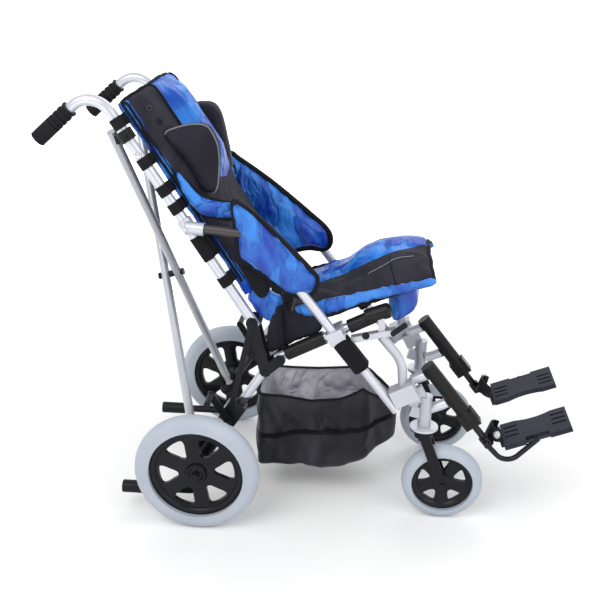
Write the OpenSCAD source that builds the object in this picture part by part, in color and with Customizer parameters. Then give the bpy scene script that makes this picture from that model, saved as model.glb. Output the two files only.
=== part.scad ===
// Folding special needs stroller: two tube side frames, crossed rear stays,
// twelve inch rear wheels, swivelling front wheels, reclined padded seat.
// X points forward, Y to the child's left, Z up, floor at zero.

/* [Side frame] */
// Distance from the rear axle to the front axle
wheelbase = 594; // [560:1:640]
// Half the distance between the centres of the two back tubes
frame_half = 190; // [180:1:215]
// Outer diameter of the back and handle tubes
back_tube_d = 25; // [22:0.5:28]
// Outer diameter of the arm, seat, leg and front tubes
frame_tube_d = 22; // [19:0.5:24]
// Wall of every frame tube
tube_wall = 1.6; // [1.2:0.1:2.5]
// Knuckle behind the seat, ahead of the rear axle
knuckle_x = 171; // [160:1:185]
// Knuckle behind the seat, above the floor
knuckle_z = 414; // [395:1:430]
// Tilt of the seat tubes, front end up
seat_tilt = 27.4; // [22:0.1:32]
// Length of the seat tube
seat_tube_len = 300; // [280:1:320]
// Lean of the back tube from upright
back_lean = 32.7; // [28:0.1:36]
// Straight length of the back tube
back_tube_len = 583; // [540:1:620]
// Foot of the back tube, behind the knuckle
back_foot_back = 35; // [32:1:40]
// Foot of the back tube, above the knuckle
back_foot_up = 91; // [86:1:100]
// Gap between an opening tube plane and its neighbour
plane_gap = 3; // [2:0.5:6]

/* [Handles] */
// Bend radius of the push handle
handle_bend_r = 55; // [45:1:65]
// Turn of the push handle at its bend
handle_turn = 98.3; // [90:0.1:105]
// Straight length of handle past the bend
handle_len = 114; // [105:1:130]
// Outer diameter of the rubber grip
grip_d = 37; // [33:0.5:40]
// Length of the rubber grip
grip_len = 104; // [90:1:110]

/* [Arm and front tubes] */
// Height of the arm bracket above the knuckle
arm_up = 330; // [310:1:345]
// Straight level part of the arm tube
arm_level_len = 112; // [100:1:125]
// Downward slope of the level part
arm_slope = 5.4; // [3:0.1:8]
// Turn of the arm tube at its bend
arm_turn = 46.5; // [44:0.1:49]
// Bend radius of the arm tube
arm_bend_r = 60; // [50:1:80]
// Straight length of the sloping part of the arm tube
arm_drop_len = 512; // [500:1:520]
// Length of the upper straight of the front post
post_top_len = 52; // [45:1:60]
// Length of the lower straight of the front post
post_low_len = 42; // [36:1:50]
// Bend radius of the front post
post_bend_r = 80; // [70:1:95]

/* [Rear stays] */
// Outer diameter of a rear stay
stay_d = 22; // [19:0.5:24]
// Forward lean of the stays' plane
stay_lean = 14; // [12:0.1:16]
// Height of the stays, foot pivot to top
stay_rise = 768; // [740:1:790]
// Half the distance between a stay's foot and its top, side to side
stay_half = 160; // [150:1:162]
// Gap between the two stays where they cross
stay_cross_gap = 10; // [6:0.5:14]

/* [Rear wheels] */
// Outer diameter of a rear tyre
rear_wheel_d = 305; // [290:1:320]
// Outer diameter of a rear rim
rear_rim_d = 230; // [215:1:240]
// Width of a rear tyre
rear_tyre_w = 44; // [38:1:48]
// Half the rear track, wheel centre to middle
rear_track_half = 273; // [270:1:300]
// Diameter of the rear axle pin
rear_axle_d = 12; // [10:0.5:15]
// Number of spokes in a rear rim
rear_spokes = 6; // [5:1:8]
// Length of the tilt peg's level part
peg_len = 164; // [140:1:180]
// Height of the tilt peg's centre
peg_z = 60; // [52:1:70]

/* [Front wheels] */
// Outer diameter of a front tyre
front_wheel_d = 200; // [190:1:210]
// Outer diameter of a front rim
front_rim_d = 150; // [140:1:156]
// Width of a front tyre
front_tyre_w = 42; // [36:1:46]
// Half the distance between the two caster pivots
caster_half = 166; // [162:1:180]
// Distance of a caster's axle from its pivot line
caster_trail = 52; // [45:1:56]
// Outer diameter of a caster housing
housing_d = 32; // [28:1:36]
// Height of the foot of a caster housing
housing_z = 252; // [248:1:262]
// Length of a caster housing
housing_len = 74; // [66:1:80]
// Number of spokes in a front rim
front_spokes = 5; // [5:1:6]

/* [Leg rests] */
// Half the distance between the two leg tubes
leg_half = 148; // [140:1:152]
// Slope of the leg tubes below level
leg_slope = 51.7; // [48:0.1:56]
// Length of the padded outer leg tube
leg_len = 196; // [180:1:210]
// Outer diameter of the foam on a leg tube
leg_foam_d = 35; // [30:1:38]
// Outer diameter of the sliding inner leg tube
inner_leg_d = 17; // [15:0.5:18]
// Inner leg tube showing below its clamp
inner_leg_out = 66; // [60:1:80]
// Length of a footplate
plate_len = 166; // [150:1:180]
// Width of a footplate
plate_w = 104; // [90:1:110]
// Thickness of a footplate
plate_t = 13; // [11:0.5:16]
// Pitch of a footplate, toe up
plate_pitch = 22; // [18:0.1:26]

/* [Seat and basket] */
// Length of the seat cushion
seat_pad_len = 345; // [325:1:355]
// Thickness of the seat cushion
seat_pad_t = 84; // [74:1:92]
// Tilt of the seat cushion, front end up
seat_pad_tilt = 21; // [17:0.5:24]
// Length of the back cushion along the back tubes
back_pad_len = 506; // [480:1:512]
// Thickness of the back cushion
back_pad_t = 65; // [56:1:72]
// Gap between the back tube and the back cushion
back_pad_gap = 8; // [6:0.5:10]
// Thickness of a side wing
wing_t = 24; // [18:1:28]
// Thickness of a head pad
head_pad_t = 50; // [42:1:58]
// Half the width of the basket
basket_half = 112; // [100:1:118]
// Length of the basket
basket_len = 359; // [340:1:365]
// Height of the basket
basket_h = 203; // [190:1:215]
// Wall of the basket's cloth panels
basket_wall = 3; // [2:0.5:4]

/* [Hidden] */
$fn = 48;

right = -1;
left = 1;
// Clearance of a part that turns or slides on another, at the radius
run_gap = 0.05;
// Clearance of a part that is seated in another
seat_gap = 0.1;
// Side clearance between moving faces
face_gap = 0.4;
// Extra depth of a cut
over = 1;
// Rise of the weld ring where a bend meets a straight
weld_rise = 0.05;

function heading(a) = [cos(a), sin(a)];
function normal(a) = [-sin(a), cos(a)];

back_r = back_tube_d / 2;
frame_r = frame_tube_d / 2;
back_dir = 90 + back_lean;
knuckle_p = [knuckle_x, knuckle_z];
back_foot = knuckle_p + [-back_foot_back, back_foot_up];
back_top = back_foot + back_tube_len * heading(back_dir);
grip_dir = back_dir + handle_turn;
handle_centre = back_top + handle_bend_r * normal(back_dir);
handle_start = handle_centre - handle_bend_r * normal(grip_dir);
handle_butt = handle_start + handle_len * heading(grip_dir);
plate_rear_ahead = 36;
plate_rear_down = 4;

rear_axle = [0, rear_wheel_d / 2];

// Planes of the tubes, away from the middle
pad_seat_gap = 0.3;
back_y = frame_half;
arm_y = frame_half + frame_r + plane_gap;
seat_y = arm_y - frame_tube_d - plane_gap;
leg_rear_y = frame_half;
wing_y = arm_y - frame_r - pad_seat_gap - wing_t / 2;
pad_half = wing_y - wing_t / 2 - face_gap;

arm_clear = 8;
arm_start = [back_foot[0] - (arm_up - back_foot_up) * tan(back_lean) + back_r + arm_clear, knuckle_z + arm_up];
arm_bend_c = arm_start + arm_level_len * heading(-arm_slope) - arm_bend_r * normal(-arm_slope);
arm_dir = -arm_slope - arm_turn;
arm_drop = arm_bend_c + arm_bend_r * normal(arm_dir);
arm_end = arm_drop + arm_drop_len * heading(arm_dir);

// Rear leg, and what is bolted at the knuckle
leg_run = rear_axle - knuckle_p;
leg_line = atan2(leg_run[1], leg_run[0]);
leg_top_gap = 8;
seat_tube_start = 12;
axle_block_r = 22;
axle_block_d = 35;
knuckle_plate_t = 4;
knuckle_r = 14;
knuckle_bolt_d = 8;
knuckle_bolt_head = 3;
knuckle_back_p = back_foot + knuckle_r * heading(back_dir);
knuckle_leg_p = knuckle_p + (leg_top_gap + knuckle_r) * heading(leg_line);
knuckle_seat_p = knuckle_p + (seat_tube_start + knuckle_r) * heading(seat_tilt);
leg_clamp_len = 46;
leg_clamp_w = 30;
link_r = 7;
// Parking brake pivot, down the rear leg from the knuckle
brake_down = 181;
brake_pin_d = 8;
brake_plate_t = 6;
brake_y = frame_half + leg_clamp_w;
brake_p = knuckle_p + brake_down * heading(leg_line);
brake_pin_len = brake_y - frame_half - leg_clamp_w / 2 + brake_plate_t + 2 * over;
link_foot = brake_p + leg_clamp_len * 0.8 * heading(leg_line + 180) - leg_clamp_w * 0.6 * normal(leg_line);

front_axle = [wheelbase, front_wheel_d / 2];
caster_x = wheelbase - caster_trail;

// Leg rest line, from its knee down to the clamp and the inner tube's end
knee_up = 152;
knee = [caster_x, housing_z + knee_up];
leg_dir = -leg_slope;
leg_foot = knee + (leg_len + inner_leg_out) * heading(leg_dir);
plate_rear = leg_foot + [plate_rear_ahead, plate_rear_down];
plate_toe = plate_rear + plate_len * heading(plate_pitch);

// The whole length runs from the grips' butts to the footplates' toes
reach_rear = handle_butt[0] + grip_d / 2 * sin(grip_dir);
reach_front = plate_toe[0];
mid_x = (reach_rear + reach_front) / 2;

// Where the arm tube passes the seat tube, measured down its slope
arm_cross_down = cross_distance(arm_drop, arm_dir, knuckle_p, seat_tilt);
function cross_distance(p, a, q, b) =
  let (gap = q - p, da = heading(a), db = heading(b))
  (gap[0] * db[1] - gap[1] * db[0]) / (da[0] * db[1] - da[1] * db[0]);

// Draws its children on one side, built for the left
module sided(side) {
  if (side == left) children();
  else mirror([0, 1, 0]) children();
}

// Puts its children at a side plane point, with X turned up by a
module at(p, a, y) {
  translate([p[0] - mid_x, y, p[1]]) rotate([0, -a, 0]) children();
}

// A bar along X
module bar(d, len) {
  rotate([0, 90, 0]) cylinder(d = d, h = len);
}

// A hollow straight tube along X
module tube(d, wall, len) {
  rotate([0, 90, 0]) linear_extrude(len) tube_section(d, wall);
}

module tube_section(d, wall) {
  difference() {
    circle(d = d);
    if (wall > 0) circle(d = d - 2 * wall);
  }
}

// A tube with one bend, which starts at p with heading a: straight, bend, straight
module bent_tube(p, a, before, turn, r, after, d, wall, y) {
  c = p + sign(turn) * r * normal(a);
  first = turn > 0 ? a - 90 : a + 90 + turn;
  ends = turn > 0 ? [before, after] : [after, before];
  at(c, first, y) rotate([90, 0, 0]) {
    rotate_extrude(angle = abs(turn)) translate([r, 0]) tube_section(d, wall);
    for (k = [0, 1]) rotate(k * abs(turn)) translate([r, 0, 0]) rotate([k == 0 ? 90 : -90, 0, 0]) {
      translate([0, 0, seat_gap]) linear_extrude(ends[k] - seat_gap) tube_section(d, wall);
      translate([0, 0, -over]) linear_extrude(2 * over)
        tube_section(d + 2 * weld_rise, wall > 0 ? wall + 2 * weld_rise : 0);
    }
  }
}

// A box centred across, from x0 to x1 and z0 to z1
module slab(x0, x1, w, z0, z1) {
  translate([x0, -w / 2, z0]) cube([x1 - x0, w, z1 - z0]);
}

// Outline of a link: discs at two points of the side plane and a strip between them
module link_outline(p, q, r) {
  run = q - p;
  translate(p) rotate(atan2(run[1], run[0])) {
    circle(r = r);
    translate([0, -r * link_waist_share]) square([norm(run), 2 * r * link_waist_share]);
    translate([norm(run), 0]) circle(r = r);
  }
}

// A flat link plate across Y, with round ends at two points of the side plane and a slight waist
link_waist_share = 0.96;
module link(p, q, r, t, y) {
  run = q - p;
  at(p, atan2(run[1], run[0]), y) rotate([90, 0, 0]) translate([0, 0, -t / 2]) linear_extrude(t)
    link_outline([0, 0], [norm(run), 0], r);
}

// A cylinder across Y, centred at y
module cross_pin(p, d, len, y) {
  at(p, 0, y) rotate([90, 0, 0]) cylinder(d = d, h = len, center = true);
}

// Points of the back tube, measured down from its straight top
function on_back(down) = back_top - down * heading(back_dir);
function on_seat(out) = knuckle_p + out * heading(seat_tilt);
function on_arm(down) = arm_drop + down * heading(arm_dir);
function on_leg(down) = knee + down * heading(leg_dir);
function on_rear_leg(down) = knuckle_p + down * heading(leg_line);

// Cutter for a frame tube's bolt hole
module bolt_hole(p, y) {
  cross_pin(p, knuckle_bolt_d + 2 * seat_gap, back_tube_d + 2 * over, y);
}

// Back tube and push handle, one bent tube
module back_tube(side) {
  color([0.88, 0.88, 0.93]) sided(side) difference() {
    bent_tube(back_top, back_dir, back_tube_len, handle_turn, handle_bend_r, handle_len - grip_wall,
      back_tube_d, tube_wall, back_y);
    bolt_hole(knuckle_back_p, back_y);
  }
}

// Rubber grip with a closed butt and finger ridges
grip_wall = 4;
grip_flange = 4;
grip_ridge_w = 7;
grip_ridges = 3;
module hand_grip(side) {
  start = handle_len - grip_len;
  color([0.07, 0.07, 0.09]) sided(side) at(handle_start + start * heading(grip_dir), grip_dir, back_y)
    rotate([0, 90, 0]) difference() {
      union() {
        cylinder(d = grip_d - grip_wall, h = grip_len);
        cylinder(d = grip_d, h = grip_flange);
        for (k = [0 : grip_ridges - 1]) {
          translate([0, 0, grip_ridge_w * (2 + 2 * k)]) cylinder(d = grip_d, h = grip_ridge_w);
        }
        translate([0, 0, grip_len / 2]) cylinder(d = grip_d, h = grip_len / 2);
      }
      translate([0, 0, -over]) cylinder(d = back_tube_d + 2 * seat_gap, h = grip_len - grip_wall + over);
    }
}

// Webbing loops that hold the back cushion to the back tube
strap_t = 2.4;
strap_w = 26;
strap_tongue_w = 30;
straps_share = [0.05, 0.225, 0.35, 0.43, 0.775];
cover_share = 0.618;
cover_w = 62;
module back_straps(side) {
  color([0.06, 0.06, 0.08]) sided(side) {
    for (share = straps_share) strap(share * back_tube_len, strap_w);
    strap(cover_share * back_tube_len, cover_w);
  }
}

module strap(down, w) {
  at(on_back(down + w / 2), back_dir, back_y) difference() {
    union() {
      bar(back_tube_d + 2 * strap_t, w);
      translate([0, pad_half - back_y - strap_tongue_w / 2, -back_r - back_pad_gap + pad_seat_gap])
        cube([w, strap_tongue_w, back_pad_gap - strap_t]);
      translate([0, pad_half - back_y, -back_r - strap_t]) cube([w, back_y - pad_half, back_r + strap_t]);
    }
    translate([-over, 0, 0]) bar(back_tube_d + 2 * seat_gap, w + 2 * over);
  }
}

// Clamp on the back tube with the arm that meets a stay's top
stay_clamp_down = 60;
stay_clamp_len = 26;
stay_clamp_d = back_tube_d + 12;
stay_lug_t = 5;
stay_lug_h = 30;
stay_lug_w = 28;
stay_off = stay_d / 2 + stay_cross_gap / 2;
stay_foot_back = 14;
stay_foot_up = 34;
stay_foot = rear_axle + [-stay_foot_back, stay_foot_up];
stay_len = norm([2 * stay_half, stay_rise]);
stay_angle = atan(2 * stay_half / stay_rise);
module in_stay_plane() {
  translate([stay_foot[0] - mid_x, 0, stay_foot[1]]) rotate([0, -stay_lean, 0]) children();
}

module stay_bracket(side) {
  offset_x = -side * stay_off;
  face_x = offset_x + stay_d / 2 + face_gap;
  clamp_p = on_back(stay_clamp_down);
  // The back tube's distance ahead of the stays' plane, and its height along it
  rel = clamp_p - stay_foot;
  ahead = rel[0] * cos(stay_lean) + rel[1] * sin(stay_lean);
  up = -rel[0] * sin(stay_lean) + rel[1] * cos(stay_lean);
  color([0.08, 0.08, 0.1]) sided(side) difference() {
    union() {
      at(clamp_p - stay_clamp_len / 2 * heading(back_dir), back_dir, back_y) bar(stay_clamp_d, stay_clamp_len);
      in_stay_plane() translate([face_x, stay_half - stay_lug_w / 2, up - stay_lug_h / 2])
        cube([ahead - face_x, back_y - stay_half + stay_lug_w / 2, stay_lug_h / 2 + stay_lug_t]);
      cross_pin(clamp_p, stay_clamp_len / 2, stay_clamp_d + 2 * stay_lug_t, back_y);
    }
    at(clamp_p - stay_clamp_len * 2 * heading(back_dir), back_dir, back_y)
      bar(back_tube_d + 2 * seat_gap, stay_clamp_len * 4);
  }
}

// Arm tube: level under the elbow, then one long slope down to the front
module arm_tube(side) {
  color([0.88, 0.88, 0.93]) sided(side)
    bent_tube(arm_start + arm_level_len * heading(-arm_slope), -arm_slope, arm_level_len, -arm_turn, arm_bend_r,
      arm_drop_len, frame_tube_d, tube_wall, arm_y);
}

// Bracket that holds the arm tube to the back tube
arm_bracket_len = 34;
arm_bracket_d = 34;
arm_socket_len = 20;
arm_socket_wall = 4;
module arm_bracket(side) {
  down = (back_top[1] - arm_start[1]) / cos(back_lean);
  p = on_back(down);
  color([0.9, 0.9, 0.93]) sided(side) difference() {
    union() {
      at(on_back(down + arm_bracket_len / 2), back_dir, back_y) bar(arm_bracket_d, arm_bracket_len);
      at(p, -arm_slope, arm_y)
        bar(frame_tube_d + 2 * arm_socket_wall, arm_start[0] - p[0] + arm_socket_len);
      cross_pin(p, arm_socket_len / 2, arm_bracket_d + arm_socket_wall, arm_y);
    }
    at(on_back(down + arm_bracket_len), back_dir, back_y)
      bar(back_tube_d + 2 * seat_gap, 2 * arm_bracket_len);
    at(arm_start - seat_gap * heading(-arm_slope), -arm_slope, arm_y)
      bar(frame_tube_d + 2 * seat_gap, arm_socket_len * 2);
  }
}

// Seat tube
module seat_tube(side) {
  color([0.88, 0.88, 0.93]) sided(side) difference() {
    at(on_seat(seat_tube_start), seat_tilt, seat_y) tube(frame_tube_d, tube_wall, seat_tube_len - seat_tube_start);
    bolt_hole(knuckle_seat_p, seat_y);
  }
}

// Foam sleeves on the seat tube, either side of the arm tube
joint_h = 24;
cross_joint_len = 40;
cross_joint_out = cross_distance(knuckle_p, seat_tilt, arm_drop, arm_dir) - cross_joint_len / 2;
seat_foam_d = 33;
foam_clear = 12;
seat_foam_spans = [[seat_tube_start + 2 * knuckle_r + face_gap, cross_joint_out - foam_clear],
  [cross_joint_out + cross_joint_len + foam_clear, seat_tube_len - joint_h - foam_clear / 2]];
module seat_foam(side) {
  color([0.09, 0.09, 0.11]) sided(side) for (s = seat_foam_spans)
    at(on_seat(s[0]), seat_tilt, seat_y) sleeve(frame_tube_d + 2 * seat_gap, seat_foam_d, s[1] - s[0]);
}

module sleeve(inner, outer, len) {
  rotate([0, 90, 0]) linear_extrude(len) difference() {
    circle(d = outer);
    circle(d = inner);
  }
}

function knuckle_in() = seat_y - frame_r - seat_gap - knuckle_plate_t;

// Knuckle: plates that join the back, seat and leg tubes, and the rear link
module knuckle(side) {
  outer_y = back_y + back_r + seat_gap + knuckle_plate_t / 2;
  inner_y = seat_y - frame_r - seat_gap - knuckle_plate_t / 2;
  link_y = outer_y + knuckle_plate_t - over;
  clamp_face = leg_rear_y + leg_clamp_w / 2;
  color([0.08, 0.08, 0.1]) sided(side) {
    for (y = [outer_y, inner_y]) {
      at([0, 0], 0, y) rotate([90, 0, 0]) translate([0, 0, -knuckle_plate_t / 2]) linear_extrude(knuckle_plate_t) {
        link_outline(knuckle_back_p, knuckle_leg_p, knuckle_r);
        link_outline(knuckle_leg_p, knuckle_seat_p, knuckle_r - over);
      }
    }
    for (p = [knuckle_back_p, knuckle_leg_p, knuckle_seat_p]) {
      cross_pin(p, knuckle_bolt_d, outer_y - inner_y + knuckle_plate_t + 2 * knuckle_bolt_head,
        (outer_y + inner_y) / 2);
    }
    link(knuckle_back_p, link_foot, link_r, knuckle_plate_t, link_y);
    cross_pin(link_foot, knuckle_bolt_d, link_y + knuckle_plate_t - clamp_face, (link_y + knuckle_plate_t + clamp_face) / 2);
  }
}

// Rear leg, knuckle to axle
leg_tube_len = norm(leg_run) - axle_block_r - seat_gap - leg_top_gap;
module rear_leg(side) {
  sided(side) {
    color([0.88, 0.88, 0.93]) difference() {
      at(on_rear_leg(leg_top_gap), leg_line, leg_rear_y) tube(frame_tube_d, tube_wall, leg_tube_len);
      bolt_hole(knuckle_leg_p, leg_rear_y);
    }
    color([0.08, 0.08, 0.1]) {
      difference() {
        at(on_rear_leg(brake_down - leg_clamp_len), leg_line, leg_rear_y)
          slab(0, leg_clamp_len * 1.3, leg_clamp_w, -leg_clamp_w * 0.9, leg_clamp_w * 0.6);
        at(on_rear_leg(0), leg_line, leg_rear_y) bar(frame_tube_d, norm(leg_run));
      }
      cross_pin(brake_p, brake_pin_d, brake_pin_len, leg_rear_y + leg_clamp_w / 2 + brake_pin_len / 2);
      cross_pin(brake_p, brake_pin_d * 2, brake_plate_t / 2, brake_y + brake_plate_t + face_gap + brake_plate_t / 4);
    }
  }
}

// Axle block: leg socket, wheel axle with its nut, stay foot lug and tilt peg
axle_boss_d = 34;
axle_nut_t = 6;
axle_nut_d = 21;
peg_y = frame_half + 22;
peg_d = 20;
peg_grip_d = 32;
peg_grip_len = 62;
peg_bend_r = 36;
hub_w = 50;
stay_pin_d = 8;
module axle_block(side) {
  hub_in = rear_track_half - hub_w / 2 - face_gap;
  hub_out = rear_track_half + hub_w / 2 + face_gap;
  offset_x = side * stay_off;
  color([0.1, 0.1, 0.12]) sided(side) {
    difference() {
      union() {
        cross_pin(rear_axle, axle_boss_d, hub_in - frame_half + frame_r, (hub_in + frame_half - frame_r) / 2);
        at(rear_axle, 180 + leg_line, leg_rear_y) translate([-axle_block_r, 0, 0])
          bar(axle_block_d, axle_block_r * 3);
        at(rear_axle, -90, peg_y) bar(peg_d * 1.4, rear_axle[1] - peg_z - peg_bend_r);
        foot_lug(offset_x);
      }
      at(rear_axle, 180 + leg_line, leg_rear_y) translate([axle_block_r, 0, 0])
        bar(frame_tube_d + 2 * seat_gap, axle_block_r * 3);
    }
    cross_pin(rear_axle, rear_axle_d, hub_out + axle_nut_t - frame_half, (hub_out + axle_nut_t + frame_half) / 2);
    cross_pin(rear_axle, axle_nut_d, axle_nut_t, hub_out + axle_nut_t / 2);
    peg();
  }
}

module peg() {
  start = [rear_axle[0], peg_z + peg_bend_r];
  level = [start[0] - peg_bend_r, peg_z];
  bent_tube(start, -90, peg_d, -90, peg_bend_r, peg_len, peg_d, tube_wall, peg_y);
  at(level - [peg_len - peg_grip_len, 0], 180, peg_y) difference() {
    bar(peg_grip_d, peg_grip_len + grip_wall);
    translate([-over, 0, 0]) bar(peg_d - tube_wall, peg_grip_len + over);
  }
}

// Lug across the stays' plane, with the pin that the stay's foot turns on
foot_lug_w = 30;
module foot_lug(offset_x) {
  near = offset_x - stay_d / 2 - face_gap - stay_lug_t;
  in_stay_plane() {
    translate([near, stay_half - foot_lug_w / 2, -foot_lug_w / 2])
      cube([stay_lug_t, frame_half - stay_half + foot_lug_w / 2, foot_lug_w]);
    translate([near, stay_half, 0]) bar(stay_pin_d, stay_lug_t + stay_d + 2 * face_gap + stay_lug_t);
    translate([near + stay_lug_t + stay_d + 2 * face_gap, stay_half, 0]) bar(stay_pin_d * 2, stay_lug_t);
    translate([near, frame_half - frame_r, -foot_lug_w / 2])
      cube([abs(near) + axle_block_r, frame_r, foot_lug_w / 2]);
  }
}

// One stay: tube, foot plug with its bore, top plug; leans towards the far side
stay_end = 14;
stay_hole_gap = 2.4;
stay_bolt_d = 8;
module stay(foot_side) {
  in_stay_plane() translate([foot_side * stay_off, foot_side * stay_half, 0])
    rotate([foot_side * stay_angle, 0, 0]) difference() {
      union() {
        color([0.74, 0.76, 0.8]) cylinder(d = stay_d, h = stay_len);
        color([0.08, 0.08, 0.1]) translate([0, 0, -stay_end]) cylinder(d = stay_d, h = stay_end);
        color([0.08, 0.08, 0.1]) translate([0, 0, stay_len]) cylinder(d = stay_d, h = stay_end);
      }
      rotate([0, 90, 0]) cylinder(d = stay_pin_d + 2 * run_gap, h = 2 * stay_d, center = true);
      translate([0, 0, stay_len / 2]) rotate([0, 90, 0])
        cylinder(d = stay_bolt_d + (foot_side == left ? 2 * stay_hole_gap : 2 * seat_gap), h = 2 * stay_d, center = true);
    }
}

// Bolt where the stays cross, held by the stay to the right foot
stay_bolt_head_d = 17;
stay_bolt_head_t = 6;
module stay_bolt() {
  half = stay_off + stay_d / 2 + face_gap;
  color([0.1, 0.1, 0.12]) in_stay_plane() translate([0, 0, stay_rise / 2]) {
    translate([-half - stay_bolt_head_t, 0, 0]) bar(stay_bolt_d, 2 * half + 2 * stay_bolt_head_t);
    translate([-half - stay_bolt_head_t, 0, 0]) bar(stay_bolt_head_d, stay_bolt_head_t);
    translate([half, 0, 0]) bar(stay_bolt_head_d, stay_bolt_head_t);
    translate([-stay_cross_gap / 2 + face_gap, 0, 0]) bar(stay_bolt_head_d, stay_cross_gap - 2 * face_gap);
  }
}

// Parking brake: pedal lever on the rear leg, with a shoe ahead of the tyre
pedal_back = 42;
pedal_up = 72;
module brake_lever(side) {
  pedal_p = brake_p + [-pedal_back, pedal_up];
  color([0.07, 0.07, 0.09]) sided(side) difference() {
    union() {
      link(brake_p, pedal_p, brake_plate_t * 1.5, brake_plate_t, brake_y);
      cross_pin(brake_p, brake_pin_d * 2.4, brake_plate_t, brake_y);
      cross_pin(pedal_p, brake_plate_t * 2.5, rear_track_half - brake_y, (rear_track_half + brake_y) / 2);
    }
    cross_pin(brake_p, brake_pin_d + 2 * run_gap, brake_plate_t * 6, brake_y);
  }
}

// Rear rim with spokes, and its hub
rim_lip = 14;
rim_w = 30;
hub_d = 54;
spoke_w = 24;
spoke_t = 12;
module rim(d, w, hub, hub_len, bore, lip, count, sw, st) {
  rotate([90, 0, 0]) difference() {
    union() {
      linear_extrude(w, center = true) difference() {
        circle(d = d, $fn = 96);
        circle(d = d - 2 * lip, $fn = 96);
      }
      for (k = [0 : count - 1]) rotate(k * 360 / count) translate([0, -sw / 2, -st / 2]) cube([d / 2 - lip / 2, sw, st]);
      cylinder(d = hub, h = hub_len, center = true);
    }
    cylinder(d = bore, h = hub_len * 2, center = true);
  }
}

module rear_rim(side) {
  color([0.05, 0.05, 0.07]) sided(side) at(rear_axle, 0, rear_track_half)
    rim(rear_rim_d, rim_w, hub_d, hub_w, rear_axle_d + 2 * run_gap, rim_lip, rear_spokes, spoke_w, spoke_t);
}

// Round shouldered tyre with a flat seat on its rim
module tyre(d, rim_d, w) {
  depth = (d - rim_d) / 2;
  shoulder = w / 2;
  rotate([90, 0, 0]) rotate_extrude($fn = 96) intersection() {
    translate([rim_d / 2 + seat_gap, -shoulder]) square([depth - seat_gap, w]);
    translate([d / 2 - shoulder, 0]) union() {
      circle(r = shoulder);
      translate([-depth, -shoulder]) square([depth, w]);
    }
  }
}

module rear_tyre(side) {
  color([0.73, 0.77, 0.81]) sided(side) at(rear_axle, 0, rear_track_half)
    tyre(rear_wheel_d, rear_rim_d, rear_tyre_w);
}

// Front post, from the seat tube's bracket down to the lower bracket
post_slope = -50;
post_turn = -35;
post_start_out = 292;
post_start_down = 56;
post_start = on_seat(post_start_out) - [0, post_start_down];
post_bend_p = post_start + post_top_len * heading(post_slope);
post_bend_c = post_bend_p - post_bend_r * normal(post_slope);
post_low = post_bend_c + post_bend_r * normal(post_slope + post_turn);
post_end = post_low + post_low_len * heading(post_slope + post_turn);
module front_post(side) {
  color([0.85, 0.86, 0.92]) sided(side)
    bent_tube(post_bend_p, post_slope, post_top_len, post_turn, post_bend_r, post_low_len,
      frame_tube_d, tube_wall, back_y);
}

// Brackets at the front of a side frame
upper_bracket_back = 70;
upper_bracket_front = 36;
lower_bracket_back = 34;
lower_bracket_front = 26;
lock_pin_d = 7;
lock_ahead = 26;
lock_up = 14;
lock_p = post_start + [lock_ahead, lock_up];
strap_sleeve_d = 34;
strap_sleeve_len = 62;
bracket_tilt = 14;
function lower_bracket_in() = (back_y + arm_y) / 2 - joint_h * 0.8;
module front_joints(side) {
  arm_low = arm_end - frame_r * heading(arm_dir);
  color([0.86, 0.86, 0.9]) sided(side) {
    // Upper bracket under the seat tube's front end, and its triangle plate
    difference() {
      union() {
        at(post_start, bracket_tilt, back_y) slab(-upper_bracket_back, upper_bracket_front, joint_h * 0.8,
          seat_gap, joint_h * 0.6);
        at(on_seat(seat_tube_len - joint_h), seat_tilt, seat_y) bar(frame_tube_d + joint_h / 2, joint_h);
        link(post_start + joint_h / 2 * [0, 1], on_seat(seat_tube_len - joint_h / 2), joint_h / 3, knuckle_plate_t,
          seat_y + frame_r + knuckle_plate_t / 2 + seat_gap);
      }
      at(on_seat(0), seat_tilt, seat_y) bar(frame_tube_d + 2 * seat_gap, seat_tube_len * 2);
      at(post_start, post_slope, back_y) bar(frame_tube_d + 2 * seat_gap, post_top_len);
      cross_pin(lock_p, lock_pin_d + 2 * run_gap, joint_h * 4, back_y);
    }
    // Lower bracket that takes the arm tube's end and the post's foot
    difference() {
      at(post_end, seat_tilt, (back_y + arm_y) / 2)
        slab(-lower_bracket_back, lower_bracket_front, joint_h * 1.6, -joint_h * 1.5, joint_h * 0.3);
      at(post_end, post_slope + post_turn + 180, back_y) bar(frame_tube_d + 2 * seat_gap, joint_h * 2);
      at(arm_low, arm_dir + 180, arm_y) translate([-frame_r - seat_gap, 0, 0])
        bar(frame_tube_d + 2 * seat_gap, joint_h * 4);
    }
    // Crossing block that joins the seat tube to the arm tube
    difference() {
      at(on_seat(cross_joint_out), seat_tilt, (arm_y + seat_y) / 2)
        slab(0, cross_joint_len, arm_y - seat_y + frame_tube_d + joint_h * 0.4, -joint_h * 0.7, joint_h * 0.7);
      at(on_seat(0), seat_tilt, seat_y) bar(frame_tube_d + 2 * seat_gap, seat_tube_len * 2);
      at(on_arm(0), arm_dir, arm_y) bar(frame_tube_d + 2 * seat_gap, arm_drop_len);
    }
  }
  color([0.07, 0.07, 0.09]) sided(side)
    at(on_arm(arm_cross_down + joint_h * 1.5), arm_dir, arm_y)
      sleeve(frame_tube_d + 2 * seat_gap, strap_sleeve_d, strap_sleeve_len);
}

// Fold lock lever on the upper bracket
lock_len = 34;
lock_t = 6;
module lock_lever(side) {
  y = back_y + joint_h * 0.4 + face_gap + lock_t / 2;
  color([0.07, 0.07, 0.09]) sided(side) {
    link(lock_p, lock_p + lock_len * heading(40), lock_t, lock_t, y);
    cross_pin(lock_p, lock_pin_d, joint_h * 0.8, back_y + face_gap);
  }
}

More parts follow.
